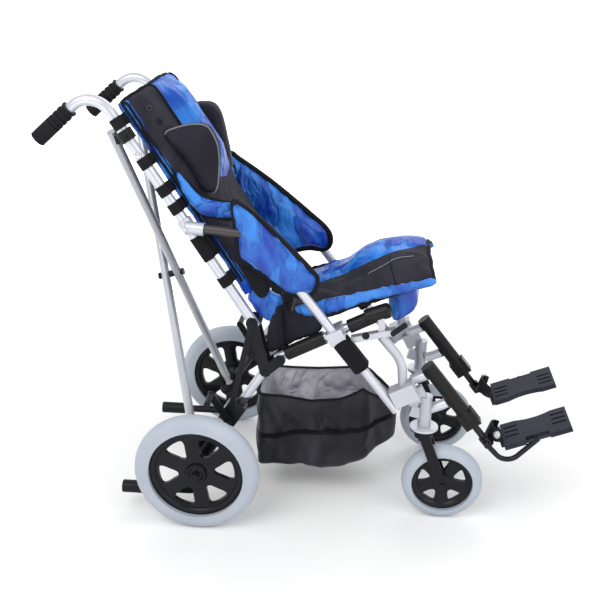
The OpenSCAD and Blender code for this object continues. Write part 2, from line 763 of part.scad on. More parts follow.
// Caster housing with its cap, and the arm that carries it on the frame
housing_cap = 7;
cap_lip = 2;
stem_d = 12;
arm_w = 18;
stub_d = 25;
stub_tilt = 24;
module caster_housing(side) {
  base = [caster_x, housing_z];
  arm_in = leg_half + stub_d / 2 + seat_gap;
  arm_out = lower_bracket_in() - seat_gap;
  color([0.7, 0.72, 0.75]) sided(side) difference() {
    union() {
      at(base, 90, caster_half) bar(housing_d, housing_len);
      color([0.08, 0.08, 0.1]) at(base + [0, housing_len], 90, caster_half) bar(housing_d + cap_lip, housing_cap);
      color([0.08, 0.08, 0.1]) at(base + [0, housing_len * 0.45], 90 + 75, caster_half)
        slab(0, arm_w * 2, arm_w, -arm_w * 0.8, arm_w * 0.8);
      color([0.08, 0.08, 0.1]) at(post_end, seat_tilt, (arm_in + arm_out) / 2)
        slab(-joint_h * 0.4, lower_bracket_front + arm_w * 0.6, arm_out - arm_in, -joint_h * 2.6, -joint_h - seat_gap);
    }
    at(base - [0, over], 90, caster_half) bar(stem_d + 2 * run_gap, housing_len * 0.8);
  }
}

// Caster fork: dust flange, crown, two blades and the wheel axle
crown_h = 20;
crown_d = 44;
flange_d = 68;
flange_t = 8;
fork_t = 6;
fork_w = 26;
fork_gap = 3;
front_hub_w = 44;
front_axle_d = 10;
module caster_fork(side) {
  top = housing_z - face_gap;
  blade_y = front_hub_w / 2 + face_gap + fork_t / 2;
  crown_low = top - flange_t - crown_h;
  run = front_axle - [caster_x, crown_low];
  color([0.06, 0.06, 0.08]) sided(side) {
    color([0.84, 0.85, 0.88]) at([caster_x, top - flange_t], 90, caster_half) bar(flange_d, flange_t);
    at([caster_x, crown_low], 90, caster_half) bar(crown_d, crown_h);
    at([caster_x, crown_low], 90, caster_half) bar(stem_d, crown_h + flange_t + face_gap + housing_len * 0.7);
    for (s = [-1, 1]) {
      link([caster_x, crown_low + fork_w / 2 + over], front_axle, fork_w / 2, fork_t, caster_half + s * blade_y);
    }
    at([caster_x, crown_low], 90, caster_half) slab(0, fork_t, 2 * blade_y + fork_t, -fork_w / 2, fork_w / 2);
    cross_pin(front_axle, front_axle_d, 2 * blade_y + 2 * fork_t, caster_half);
    for (s = [-1, 1]) {
      cross_pin(front_axle, front_axle_d * 1.7, fork_t * 0.6, caster_half + s * (blade_y + fork_t * 0.8));
    }
  }
}

// Front rim and tyre
front_hub_d = 40;
front_rim_w = 28;
front_lip = 11;
front_spoke_w = 20;
front_spoke_t = 10;
module front_rim(side) {
  color([0.05, 0.05, 0.07]) sided(side) at(front_axle, 0, caster_half)
    rim(front_rim_d, front_rim_w, front_hub_d, front_hub_w, front_axle_d + 2 * run_gap, front_lip, front_spokes,
      front_spoke_w, front_spoke_t);
}

module front_tyre(side) {
  color([0.73, 0.77, 0.81]) sided(side) at(front_axle, 0, caster_half)
    tyre(front_wheel_d, front_rim_d, front_tyre_w);
}

// Leg rest: hollow leg tube with foam, clamp, and the two stubs that carry it
leg_outer_d = inner_leg_d + 5;
leg_clamp_h = 44;
leg_clamp_t = 30;
function stub_reach(p) = cross2(knee - p, heading(leg_dir)) / cross2(heading(stub_tilt), heading(leg_dir));
module leg_rest(side) {
  upper = post_end + [lower_bracket_front * 0.8, -joint_h * 0.1];
  lower = [caster_x + housing_d / 2 * 0.8, housing_z + housing_len * 0.5];
  color([0.09, 0.09, 0.11]) sided(side) difference() {
    union() {
      at(knee, leg_dir, leg_half) bar(leg_foam_d, leg_len - leg_clamp_h / 2);
      at(on_leg(leg_len - leg_clamp_h), leg_dir, leg_half) slab(0, leg_clamp_h, leg_clamp_t,
        -leg_foam_d * 0.6, leg_foam_d * 0.6);
      for (p = [upper, lower]) {
        color([0.9, 0.9, 0.94]) at(p, stub_tilt, leg_half) bar(stub_d, stub_reach(p));
      }
      color([0.9, 0.9, 0.94]) cross_pin(upper, stub_d * 0.7, lower_bracket_in() - seat_gap - leg_half,
        (lower_bracket_in() - seat_gap + leg_half) / 2);
    }
    at(knee, leg_dir, leg_half) translate([leg_foam_d / 4, 0, 0]) bar(inner_leg_d + 2 * run_gap, leg_len * 2);
    at([caster_x, housing_z - over], 90, caster_half) bar(housing_d + 2 * seat_gap + cap_lip, housing_len + housing_cap + 2 * over);
  }
}

// Inner leg tube that slides in the leg rest, with its collar and the bent foot tube
inner_leg_in = 120;
loop_d = 13;
loop_collar_d = 26;
hinge_rod_d = 7;
loop_bend_r = 34;
loop_slope = 46;
loop_rise = 48;
loop_out = 20;
function cross2(a, b) = a[0] * b[1] - a[1] * b[0];
module foot_loop(side) {
  collar_p = on_leg(leg_len + inner_leg_out - loop_collar_d);
  loop_p = on_leg(leg_len + inner_leg_out - loop_collar_d / 2);
  rod_p = plate_rear + plate_len / 2 * heading(plate_pitch);
  // The two straights that join the collar and the rod round a bend of one radius
  way = rod_p - loop_p - loop_bend_r * (normal(-loop_slope) - normal(loop_rise));
  turn = cross2(heading(-loop_slope), heading(loop_rise));
  first = cross2(way, heading(loop_rise)) / turn;
  second = cross2(heading(-loop_slope), way) / turn;
  y = leg_half + loop_out;
  sided(side) {
    color([0.75, 0.76, 0.8])
      at(on_leg(leg_len - inner_leg_in), leg_dir, leg_half) bar(inner_leg_d, inner_leg_in + inner_leg_out);
    color([0.08, 0.08, 0.1]) {
      at(collar_p, leg_dir, leg_half) bar(loop_collar_d, loop_collar_d + over);
      cross_pin(loop_p, loop_d + over, loop_out + over, leg_half + loop_out / 2 + loop_d / 2 + over / 2);
      bent_tube(loop_p + first * heading(-loop_slope), -loop_slope, first, loop_slope + loop_rise, loop_bend_r,
        second, loop_d, 0, y);
      at(plate_rear, plate_pitch, y) bar(hinge_rod_d, plate_len);
    }
  }
}

// Footplate with its slots, edge sleeve for the hinge and heel bracket
plate_slot_w = 7;
plate_slot_len = 34;
plate_slots = 3;
plate_waist = 9;
plate_waist_r = 120;
hinge_sleeve_len = 54;
heel_h = 34;
heel_t = 9;
module footplate(side) {
  hinge_y = leg_half + loop_out;
  color([0.2, 0.2, 0.26]) sided(side) at(plate_rear, plate_pitch, 0) {
    translate([0, hinge_y - plate_w, 0]) difference() {
      translate([0, 0, -plate_t / 2]) cube([plate_len, plate_w - plate_t, plate_t]);
      for (end = [0, 1]) for (k = [0 : plate_slots - 1]) {
        translate([end == 0 ? plate_slot_w : plate_len - plate_slot_w - plate_slot_len,
          plate_slot_w * 3 * (1 + k), 0]) cube([plate_slot_len, plate_slot_w, plate_t]);
      }
      translate([plate_len / 2, -plate_waist_r + plate_waist, -plate_t])
        cylinder(r = plate_waist_r, h = 2 * plate_t);
    }
    translate([-heel_t, hinge_y - plate_w * 0.76, -heel_h / 2]) cube([heel_t, plate_w * 0.44, heel_h]);
    for (x = [0, plate_len - hinge_sleeve_len]) translate([x, hinge_y, 0]) difference() {
      union() {
        bar(plate_t, hinge_sleeve_len);
        translate([0, -plate_t, -plate_t / 2]) cube([hinge_sleeve_len, plate_t, plate_t]);
      }
      translate([-over, 0, 0]) bar(hinge_rod_d + 2 * run_gap, hinge_sleeve_len + 2 * over);
    }
  }
}

// Padded form: an outline, drawn in by rings towards its middle, crowned both ways
pad_rings = 7;
function ring_share(k) = sin(90 * k / pad_rings);
function crown(k, rim) = rim + (1 - rim) * pow(1 - pow(ring_share(k), 3), 0.5);
module pad(outline, t, rim, rim_below) {
  n = len(outline);
  mid = [for (i = [0, 1]) average([for (p = outline) p[i]])];
  function layer(k, up) = [for (p = outline) let (q = mid + (p - mid) * ring_share(k))
    [q[0], q[1], up * t / 2 * crown(k, up > 0 ? rim : rim_below)]];
  points = concat([[mid[0], mid[1], t / 2]], [for (k = [1 : pad_rings]) each layer(k, 1)],
    [for (k = [pad_rings : -1 : 1]) each layer(k, -1)], [[mid[0], mid[1], -t / 2]]);
  rows = 2 * pad_rings;
  last = rows * n + 1;
  faces = concat(
    [for (i = [0 : n - 1]) [0, 1 + (i + 1) % n, 1 + i]],
    [for (r = [0 : rows - 2]) for (i = [0 : n - 1]) each quad(1 + r * n + i, 1 + r * n + (i + 1) % n, n)],
    [for (i = [0 : n - 1]) [last, 1 + (rows - 1) * n + i, 1 + (rows - 1) * n + (i + 1) % n]]);
  polyhedron(points, faces);
}
function quad(a, b, n) = [[a, b, b + n], [a, b + n, a + n]];
function average(v) = sum(v, len(v) - 1) / len(v);
function sum(v, k) = k == 0 ? v[0] : v[k] + sum(v, k - 1);

// Shares of a length and a height as points
function scaled(shares, len_x, len_y) = [for (p = shares) [p[0] * len_x, p[1] * len_y]];

// Outline through corners, each side cut into steps
function stepped(corners, steps) = [for (i = [0 : len(corners) - 1]) for (k = [0 : steps - 1])
  corners[i] + (corners[(i + 1) % len(corners)] - corners[i]) * k / steps];

// Cushions: two sheets of points joined round their borders. A sheet's height falls from a crown table to an
// edge table towards both sides, and a little towards both ends.
cushion_rows = 18;
cushion_cols = 20;
side_fall_power = 1.6;
end_keep_share = 0.8;
end_power = 14;
corner_share = 0.1;
function side_fall(v) = cos(90 * pow(abs(v), side_fall_power));
function end_round(u) = pow(1 - pow(abs(2 * u - 1), end_power), 0.5);
function cushion_sheet(l, half, spread, edge, crown, turn) = [for (i = [0 : cushion_rows])
  let (u = (1 - cos(180 * i / cushion_rows)) / 2, e = end_round(u), low = lookup(u, edge), high = lookup(u, crown),
    w = (half + spread * u) * (1 - corner_share * (1 - e)))
  [for (j = [0 : cushion_cols]) let (v = sin(180 * j / cushion_cols - 90))
    [l * u, w * v, turn * (low + (high - low) * side_fall(v) * (end_keep_share + (1 - end_keep_share) * e))]]];
module between(top, low) {
  rows = len(top);
  cols = len(top[0]);
  n = rows * cols;
  border = concat([for (j = [0 : cols - 2]) j], [for (i = [0 : rows - 2]) i * cols + cols - 1],
    [for (j = [cols - 1 : -1 : 1]) (rows - 1) * cols + j], [for (i = [rows - 1 : -1 : 1]) i * cols]);
  cells = [for (i = [0 : rows - 2]) for (j = [0 : cols - 2]) i * cols + j];
  faces = concat([for (a = cells) each [[a, a + 1, a + 1 + cols], [a, a + 1 + cols, a + cols]]],
    [for (a = cells) each [[a + n, a + 1 + cols + n, a + 1 + n], [a + n, a + cols + n, a + 1 + cols + n]]],
    [for (k = [0 : len(border) - 1]) let (p = border[k], q = border[(k + 1) % len(border)])
      each [[p, p + n, q + n], [p, q + n, q]]]);
  polyhedron(concat([for (r = top) each r], [for (r = low) each r]), faces);
}

seat_rest_out = 290;
seat_pad_back = 216;
seat_pad_spread = 5.5;
seat_edge_shares = [[0, 0.58], [1, 0.2]];
seat_crown_shares = [[0, 0.76], [0.28, 0.82], [0.48, 0.84], [0.66, 0.94], [0.82, 1], [0.94, 0.96], [1, 0.8]];
seat_rest = on_seat(seat_rest_out) + (seat_foam_d / 2 + pad_seat_gap) * normal(seat_tilt);
function times(table, size) = [for (p = table) [p[0], p[1] * size]];
level = [[0, 0], [1, 0]];
module seat_cushion() {
  color([0.14, 0.42, 0.84]) at(seat_rest, seat_pad_tilt, 0) translate([-seat_pad_back, 0, 0]) between(
    cushion_sheet(seat_pad_len, pad_half, seat_pad_spread, times(seat_edge_shares, seat_pad_t),
      times(seat_crown_shares, seat_pad_t), 1),
    cushion_sheet(seat_pad_len, pad_half, seat_pad_spread, level, level, 1));
}

back_pad_above = 12;
back_edge_share = 0.32;
back_crown_shares = [[0, 0.86], [0.2, 1], [1, 1]];
function back_face(v) = back_pad_t * (back_edge_share + (1 - back_edge_share) * side_fall(v));
module back_cushion() {
  edge = back_pad_t * back_edge_share;
  color([0.14, 0.42, 0.84]) at(on_back(back_pad_len - back_pad_above), back_dir, 0)
    translate([0, 0, -back_r - back_pad_gap]) between(
      cushion_sheet(back_pad_len, pad_half, 0, level, level, -1),
      cushion_sheet(back_pad_len, pad_half, 0, [[0, edge], [1, edge]], times(back_crown_shares, back_pad_t), -1));
}

// Side wing between the back and the elbow
wing_back = 22;
wing_h = 242;
wing_len = 270;
wing_shares = [[0, 1], [0.36, 0.76], [0.69, 0.5], [0.91, 0.29], [1, 0.13], [0.97, 0.01], [0.82, 0],
  [0.67, 0.06], [0.5, 0.18], [0.33, 0.32], [0.21, 0.52], [0.09, 0.79]];
wing_p = arm_start + [wing_back, -wing_h * 0.68];
wing_steps = 3;
wing_rim_share = 0.4;
module wing(side) {
  color([0.14, 0.42, 0.84]) sided(side) at(wing_p, 0, wing_y) rotate([90, 0, 0])
    pad(stepped(scaled(wing_shares, wing_len, wing_h), wing_steps), wing_t, wing_rim_share, wing_rim_share);
}

// Head side pad, seated on the back cushion's face
head_pad_y = pad_half - head_pad_t / 2;
head_pad_down = 106;
// Where a head pad's inner face lies on the back cushion, as a share of its half width
head_rim_sink = 3.1;
head_in_share = (pad_half - head_pad_t) / pad_half;
head_rim_share = 0.7;
head_pad_len = 166;
head_pad_h = 76;
head_pad_shares = [[0, 0], [0.04, 0.57], [0.1, 1], [0.54, 0.74], [1, 0.43], [0.98, 0], [0.66, 0], [0.36, 0]];
module head_pad(side) {
  color([0.2, 0.2, 0.27]) sided(side) at(on_back(head_pad_down), back_dir, head_pad_y) mirror([0, 0, 1])
    translate([0, 0, back_r + back_pad_gap + back_face(head_in_share) + pad_seat_gap - head_rim_sink]) mirror([1, 0, 0])
      rotate([90, 0, 0])
      pad(stepped(scaled(head_pad_shares, head_pad_len, head_pad_h), wing_steps), head_pad_t, head_rim_share, head_rim_share);
}

// Basket: a side panel on each frame, hung by webbing, and the tub between them
basket_ahead = 129;
basket_low = 67;
basket_p = [basket_ahead, basket_low];
basket_shares = [[0.06, 1], [0, 0.04], [0.29, 0.1], [0.44, 0], [0.96, 0.41], [1, 0.56], [0.96, 0.72], [0.95, 1]];
basket_full_share = 0.72;
basket_plan_shares = [[0, 1], [basket_full_share, 1], [0.833, 0.6], [1, 0.25]];
web_t = 3;
web_w = 26;
rear_web_share = 0.12;
web_tab_share = 0.9;
module basket_profile(inset, lift) {
  shift = [inset, inset];
  at(basket_p + shift, 0, basket_half + over) rotate([90, 0, 0]) linear_extrude(2 * (basket_half + over))
    polygon([for (p = scaled(basket_shares, basket_len - 2 * inset, basket_h - inset))
      p[1] < (basket_h - inset) * 0.98 ? p : p + [0, lift]]);
}

// Plan of the basket, full width at the rear and narrow between the casters
module basket_plan(half, z0, h) {
  edge = [for (p = basket_plan_shares)
    [p[0] * (basket_len + 2 * over), p[1] * basket_half + half - basket_half]];
  translate([basket_ahead - mid_x - over, 0, z0]) linear_extrude(h)
    polygon(concat(edge, [for (i = [len(edge) - 1 : -1 : 0]) [edge[i][0], -edge[i][1]]]));
}

module basket_side(side) {
  leg_in = knuckle_in() - seat_gap;
  panel_len = basket_full_share * basket_len;
  rear_top = basket_p + [basket_len * rear_web_share, basket_h];
  rear_tab = (knuckle_leg_p + knuckle_seat_p) / 2;
  front_top = basket_p + [panel_len - web_w, basket_h];
  front_tab = post_end - joint_h * web_tab_share * [1, 1];
  color([0.12, 0.12, 0.15]) sided(side) {
    intersection() {
      basket_profile(0, 0);
      at([basket_ahead, 0], 0, basket_half - basket_wall) cube([panel_len - face_gap, basket_wall, basket_h * 2]);
    }
    web(rear_top, basket_half - basket_wall, rear_tab, leg_in);
    web(front_top, basket_half - basket_wall, front_tab, lower_bracket_in() - seat_gap);
  }
}

// Webbing from a point on the side panel to a flat tab at the frame
module web(p, y, q, face) {
  hull() {
    at(p, 0, y) web_end();
    at(q, 0, face - web_t) web_end();
  }
}
module web_end() {
  translate([-web_w / 2, 0, -web_w / 2]) cube([web_w, web_t, web_w]);
}

module basket_tub() {
  half = basket_half - basket_wall - pad_seat_gap;
  color([0.12, 0.12, 0.15]) difference() {
    intersection() {
      basket_profile(0, 0);
      basket_plan(half, 0, 2 * basket_h);
    }
    intersection() {
      basket_profile(basket_wall, basket_h);
      union() {
        basket_plan(half - basket_wall, 0, 3 * basket_h);
        at([basket_ahead, 0], 0, -2 * half)
          cube([basket_full_share * basket_len - basket_wall, 4 * half, 3 * basket_h]);
      }
    }
  }
}

back_tube(right);  // right_back_tube
back_tube(left);  // left_back_tube
hand_grip(right);  // right_hand_grip
hand_grip(left);  // left_hand_grip
back_straps(right);  // right_back_straps
back_straps(left);  // left_back_straps
stay_bracket(right);  // right_stay_bracket
stay_bracket(left);  // left_stay_bracket
arm_tube(right);  // right_arm_tube
arm_tube(left);  // left_arm_tube
arm_bracket(right);  // right_arm_bracket
arm_bracket(left);  // left_arm_bracket
seat_tube(right);  // right_seat_tube
seat_tube(left);  // left_seat_tube
seat_foam(right);  // right_seat_foam
seat_foam(left);  // left_seat_foam
knuckle(right);  // right_knuckle
knuckle(left);  // left_knuckle
rear_leg(right);  // right_rear_leg
rear_leg(left);  // left_rear_leg
axle_block(right);  // right_axle_block
axle_block(left);  // left_axle_block
brake_lever(right);  // right_brake_lever
brake_lever(left);  // left_brake_lever
rear_rim(right);  // right_rear_rim
rear_rim(left);  // left_rear_rim
rear_tyre(right);  // right_rear_tyre
rear_tyre(left);  // left_rear_tyre
front_post(right);  // right_front_post
front_post(left);  // left_front_post
front_joints(right);  // right_front_joints
front_joints(left);  // left_front_joints
lock_lever(right);  // right_lock_lever
lock_lever(left);  // left_lock_lever
caster_housing(right);  // right_caster_housing
caster_housing(left);  // left_caster_housing
caster_fork(right);  // right_caster_fork
caster_fork(left);  // left_caster_fork
front_rim(right);  // right_front_rim
front_rim(left);  // left_front_rim
front_tyre(right);  // right_front_tyre
front_tyre(left);  // left_front_tyre
leg_rest(right);  // right_leg_rest
leg_rest(left);  // left_leg_rest
foot_loop(right);  // right_foot_loop
foot_loop(left);  // left_foot_loop
footplate(right);  // right_footplate
footplate(left);  // left_footplate
stay(left);  // stay_to_left_foot
stay(right);  // stay_to_right_foot
stay_bolt();
seat_cushion();
back_cushion();
wing(right);  // right_wing
wing(left);  // left_wing
head_pad(right);  // right_head_pad
head_pad(left);  // left_head_pad
basket_tub();
basket_side(right);  // right_basket_side
basket_side(left);  // left_basket_side
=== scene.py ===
import math
import bpy
import bmesh
import numpy as np
from mathutils import Matrix, Vector
from mathutils.bvhtree import BVHTree


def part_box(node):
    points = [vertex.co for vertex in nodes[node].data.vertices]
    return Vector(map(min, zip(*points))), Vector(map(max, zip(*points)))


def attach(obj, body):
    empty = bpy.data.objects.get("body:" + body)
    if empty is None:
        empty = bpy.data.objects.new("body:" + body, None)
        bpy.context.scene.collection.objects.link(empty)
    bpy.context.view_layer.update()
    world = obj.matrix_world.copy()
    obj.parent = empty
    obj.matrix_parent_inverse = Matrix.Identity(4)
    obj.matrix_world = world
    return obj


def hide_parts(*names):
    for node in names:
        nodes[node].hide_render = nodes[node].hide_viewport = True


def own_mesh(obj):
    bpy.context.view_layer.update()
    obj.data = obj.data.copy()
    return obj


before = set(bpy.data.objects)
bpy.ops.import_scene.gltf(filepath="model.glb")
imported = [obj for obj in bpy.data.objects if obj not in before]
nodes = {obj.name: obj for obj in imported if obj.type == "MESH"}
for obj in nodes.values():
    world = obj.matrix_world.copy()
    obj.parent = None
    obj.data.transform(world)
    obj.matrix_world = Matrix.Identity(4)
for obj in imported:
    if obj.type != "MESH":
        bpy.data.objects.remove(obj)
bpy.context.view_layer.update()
print("stage: frame loaded,", len(nodes), "nodes")

# Sizes below are in millimetres from the rear axle, on the plane of one side frame.
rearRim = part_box("right_rear_rim")
rearAxleX = (rearRim[0][0] + rearRim[1][0]) / 2
sides = {"right": -1, "left": 1}


def place(x, y, z):  # millimetres from the rear axle to metres in the frame
    metres = np.asarray(x, float) / 1000 + rearAxleX, np.asarray(y, float) / 1000, np.asarray(z, float) / 1000
    return np.stack(np.broadcast_arrays(*metres), -1)


def sidePlane(x, z, y):  # the same, from a point of a side outline and its distance across
    return place(x, y, z)


def heading(degrees):
    return np.array([math.cos(math.radians(degrees)), math.sin(math.radians(degrees))])


def unit(vectors):
    return vectors / (np.linalg.norm(vectors, axis=1)[:, None] + 1e-12)


def runLength(path):  # distance along a path at each of its points
    return np.concatenate([[0], np.cumsum(np.linalg.norm(np.diff(path, axis=0), axis=1))])


def circle(count):  # angles of evenly spaced points
    return np.arange(count) / count * 2 * math.pi


def softStep(x):
    x = np.clip(x, 0, 1)
    return x * x * (3 - 2 * x)


def smoothPath(points, count, closed=False):
    # Catmull-Rom curve through the points, cut into equal lengths
    p = np.asarray(points, float)
    if closed:
        ext, spans = np.concatenate([p[-1:], p, p[:2]]), len(p)
    else:
        ext, spans = np.concatenate([2 * p[:1] - p[1:2], p, 2 * p[-1:] - p[-2:-1]]), len(p) - 1
    t = np.linspace(0, 1, 24, endpoint=False)[:, None]
    a, b, c, d = (ext[k:k + spans, None] for k in range(4))
    q = 0.5 * (2 * b + (c - a) * t + (2 * a - 5 * b + 4 * c - d) * t**2 + (3 * b - a - 3 * c + d) * t**3)
    q = q.reshape(-1, p.shape[1])
    q = np.concatenate([q, q[:1] if closed else p[-1:]])
    run = runLength(q)
    want = np.linspace(0, run[-1], count + 1 if closed else count)
    out = np.stack([np.interp(want, run, q[:, k]) for k in range(p.shape[1])], 1)
    return out[:-1] if closed else out


def evenOut(path, rounds, closed=True):
    # Each point moves towards the middle of its neighbours, open ends stay
    p = np.array(path)
    for _ in range(rounds):
        q = (np.roll(p, 1, 0) + 2 * p + np.roll(p, -1, 0)) / 4
        if not closed:
            q[0], q[-1] = p[0], p[-1]
        p = q
    return p


def gridFaces(rows, cols, closeRows=False, closeCols=False):
    # Quads between neighbours of a rows by cols grid
    i = np.arange(rows if closeRows else rows - 1)[:, None]
    j = np.arange(cols if closeCols else cols - 1)[None]
    i2, j2 = (i + 1) % rows, (j + 1) % cols
    return np.stack([i * cols + j, i * cols + j2, i2 * cols + j2, i2 * cols + j], -1).reshape(-1, 4)


def cappedFaces(rows, cols):
    # A tube of rings, closed by one face at each end
    last = (rows - 1) * cols
    return [*gridFaces(rows, cols, False, True), range(cols)[::-1], range(last, last + cols)]


def newObject(name, data):
    obj = bpy.data.objects.new(name, data)
    bpy.context.scene.collection.objects.link(obj)
    return obj


def setUv(mesh, uv):
    layer = mesh.uv_layers.new(name="UVMap")
    loops = np.zeros(len(mesh.loops), np.int32)
    mesh.loops.foreach_get("vertex_index", loops)
    layer.data.foreach_set("uv", np.asarray(uv, np.float32)[loops].ravel())


def smooth(mesh):
    mesh.polygons.foreach_set("use_smooth", [True] * len(mesh.polygons))


def makeMesh(name, points, faces, material, uv=None):
    mesh = bpy.data.meshes.new(name)
    mesh.from_pydata(np.asarray(points, float).tolist(), [], [list(map(int, f)) for f in faces])
    if uv is not None:
        setUv(mesh, uv)
    smooth(mesh)
    mesh.update()
    mesh.materials.append(material)
    return newObject(name, mesh)


def outward(obj, merge=1e-6):
    # Points closer than the merge distance become one, and all faces look outwards
    work = bmesh.new()
    work.from_mesh(obj.data)
    bmesh.ops.remove_doubles(work, verts=work.verts, dist=merge)
    bmesh.ops.recalc_face_normals(work, faces=work.faces)
    work.to_mesh(obj.data)
    work.free()
    return obj


def evaluatedMesh(obj):
    bpy.context.view_layer.update()
    return bpy.data.meshes.new_from_object(obj.evaluated_get(bpy.context.evaluated_depsgraph_get()))


def applyModifiers(obj):
    done, old = evaluatedMesh(obj), obj.data
    obj.modifiers.clear()
    obj.data = done
    bpy.data.meshes.remove(old)


def readVectors(vertices, key):
    flat = np.zeros(len(vertices) * 3, np.float32)
    vertices.foreach_get(key, flat)
    return flat.reshape(-1, 3).astype(float)


def coordsOf(obj):
    return readVectors(obj.data.vertices, "co")


def normalsOf(obj):
    return readVectors(obj.data.vertex_normals, "vector")


def setCoords(obj, points):
    obj.data.vertices.foreach_set("co", np.asarray(points, np.float32).ravel())
    obj.data.update()


def sweep(name, path, profile, material, hint=(0, 1, 0), closed=False, scale=1.0):
    # A closed profile carried along a path: point = path + (side * profileX + up * profileY) * scale, with the
    # side square to the tangent and the hint
    p, prof = np.asarray(path, float), np.asarray(profile, float)
    tangent = unit(np.roll(p, -1, 0) - np.roll(p, 1, 0) if closed else np.gradient(p, axis=0))
    side = unit(np.cross(tangent, np.broadcast_to(np.asarray(hint, float), p.shape)))
    up = np.cross(side, tangent)
    k = np.broadcast_to(np.asarray(scale, float), len(p))[:, None, None]
    grid = p[:, None] + (side[:, None] * prof[None, :, :1] + up[:, None] * prof[None, :, 1:2]) * k
    rows, cols = grid.shape[:2]
    faces = gridFaces(rows, cols, True, True) if closed else cappedFaces(rows, cols)
    uv = np.stack(np.broadcast_arrays(runLength(prof)[None], runLength(p)[:, None]), -1).reshape(-1, 2)
    return outward(makeMesh(name, grid.reshape(-1, 3), faces, material, uv))


def roundProfile(radius, count, flatten=1.0):
    a = circle(count)
    return np.stack([radius * np.cos(a), radius * flatten * np.sin(a)], 1)


def bandProfile(width, thick):
    # Flat band with rounded edges
    a = np.linspace(-math.pi / 2, math.pi / 2, 4)
    w, r = width / 2 - thick / 2, thick / 2
    right = np.stack([w + r * np.cos(a), r * np.sin(a)], 1)
    return np.concatenate([right, -right])


def lathe(name, profile, centre, axis, material, count):
    # Profile of (radius, along) pairs turned about an axis through the centre
    axis = Vector(axis).normalized()
    side = axis.orthogonal().normalized()
    up = axis.cross(side)
    a, prof = circle(count), np.asarray(profile, float)
    ring = np.cos(a)[:, None] * np.array(side) + np.sin(a)[:, None] * np.array(up)
    grid = np.array(centre) + prof[None, :, :1] * ring[:, None] + prof[None, :, 1:2] * np.array(axis)
    uv = np.stack(np.broadcast_arrays((a * prof[:, 0].max())[:, None], runLength(prof)[None]), -1).reshape(-1, 2)
    return outward(makeMesh(name, grid.reshape(-1, 3), gridFaces(count, len(prof), True), material, uv))


# camera at the photograph's angle
cameraSet = {"at": (150.24, -2104.46, 1318.77), "yaw": 5.3212, "pitch": 21.1515, "roll": 0.4076, "lens": 53.634}
yaw, pitch, roll = (math.radians(cameraSet[k]) for k in ("yaw", "pitch", "roll"))
forward = Vector((-math.sin(yaw) * math.cos(pitch), math.cos(yaw) * math.cos(pitch), -math.sin(pitch)))
across = Vector((math.cos(yaw), math.sin(yaw), 0))
above = across.cross(forward)
tiltRight = across * math.cos(roll) + above * math.sin(roll)
tiltUp = -across * math.sin(roll) + above * math.cos(roll)
camera = newObject("camera", bpy.data.cameras.new("camera"))
camera.data.lens, camera.data.sensor_width, camera.data.clip_end = cameraSet["lens"], 36, 60
columns = (tiltRight, tiltUp, -forward, [v / 1000 for v in cameraSet["at"]])
camera.matrix_world = Matrix([[column[k] for column in columns] for k in range(3)] + [(0, 0, 0, 1)])
bpy.context.scene.camera = camera
print("stage: camera")


# shader nodes and groups
def feed(tree, socket, value):
    # Link a socket to another, or set it to a colour or a number
    if isinstance(value, bpy.types.NodeSocket):
        tree.links.new(value, socket)
    else:
        socket.default_value = (*value, 1) if socket.type == "RGBA" else value


def addNode(tree, kind, inputs=None, **settings):
    node = tree.nodes.new("ShaderNode" + kind)
    for key, value in settings.items():
        setattr(node, key, value)
    for key, value in (inputs or {}).items():
        feed(tree, node.inputs[key], value)
    return node


def mathNode(tree, kind, *values, clamp=False):
    return addNode(tree, "Math", dict(enumerate(values)), operation=kind, use_clamp=clamp).outputs[0]


def scaled(tree, value, factor, add=None, clamp=False):  # value * factor, or value * factor + add
    if add is None:
        return mathNode(tree, "MULTIPLY", value, factor, clamp=clamp)
    return mathNode(tree, "MULTIPLY_ADD", value, factor, add, clamp=clamp)


def mixColour(tree, fac, a, b):
    return addNode(tree, "Mix", {"Factor": fac, "A": a, "B": b}, data_type="RGBA").outputs["Result"]


def groupNode(tree, group, vector, **values):
    return addNode(tree, "Group", {"Vector": vector, **values}, node_tree=group).outputs


def newGroup(name, values, results):
    # A vector and the values come in, the results go out
    group = bpy.data.node_groups.new(name, "ShaderNodeTree")
    group.interface.new_socket("Vector", in_out="INPUT", socket_type="NodeSocketVector")
    for label, default in values.items():
        socket = group.interface.new_socket(label, in_out="INPUT", socket_type="NodeSocketFloat")
        socket.default_value = default
    for label in results:
        group.interface.new_socket(label, in_out="OUTPUT", socket_type="NodeSocketFloat")
    return group, group.nodes.new("NodeGroupInput").outputs, group.nodes.new("NodeGroupOutput").inputs


def makeWeaveGroup():
    # Two crossed sine waves in UV metres give the threads, height 0 to 1
    group, given, result = newGroup("weave", {"Threads": 900.0}, ["Height"])
    split = addNode(group, "SeparateXYZ", {0: given["Vector"]}).outputs
    turns = [scaled(group, split[axis], given["Threads"]) for axis in "XY"]
    waves = [mathNode(group, "SINE", scaled(group, turn, 2 * math.pi)) for turn in turns]
    feed(group, result["Height"], scaled(group, scaled(group, *waves), 0.5, 0.5))
    return group


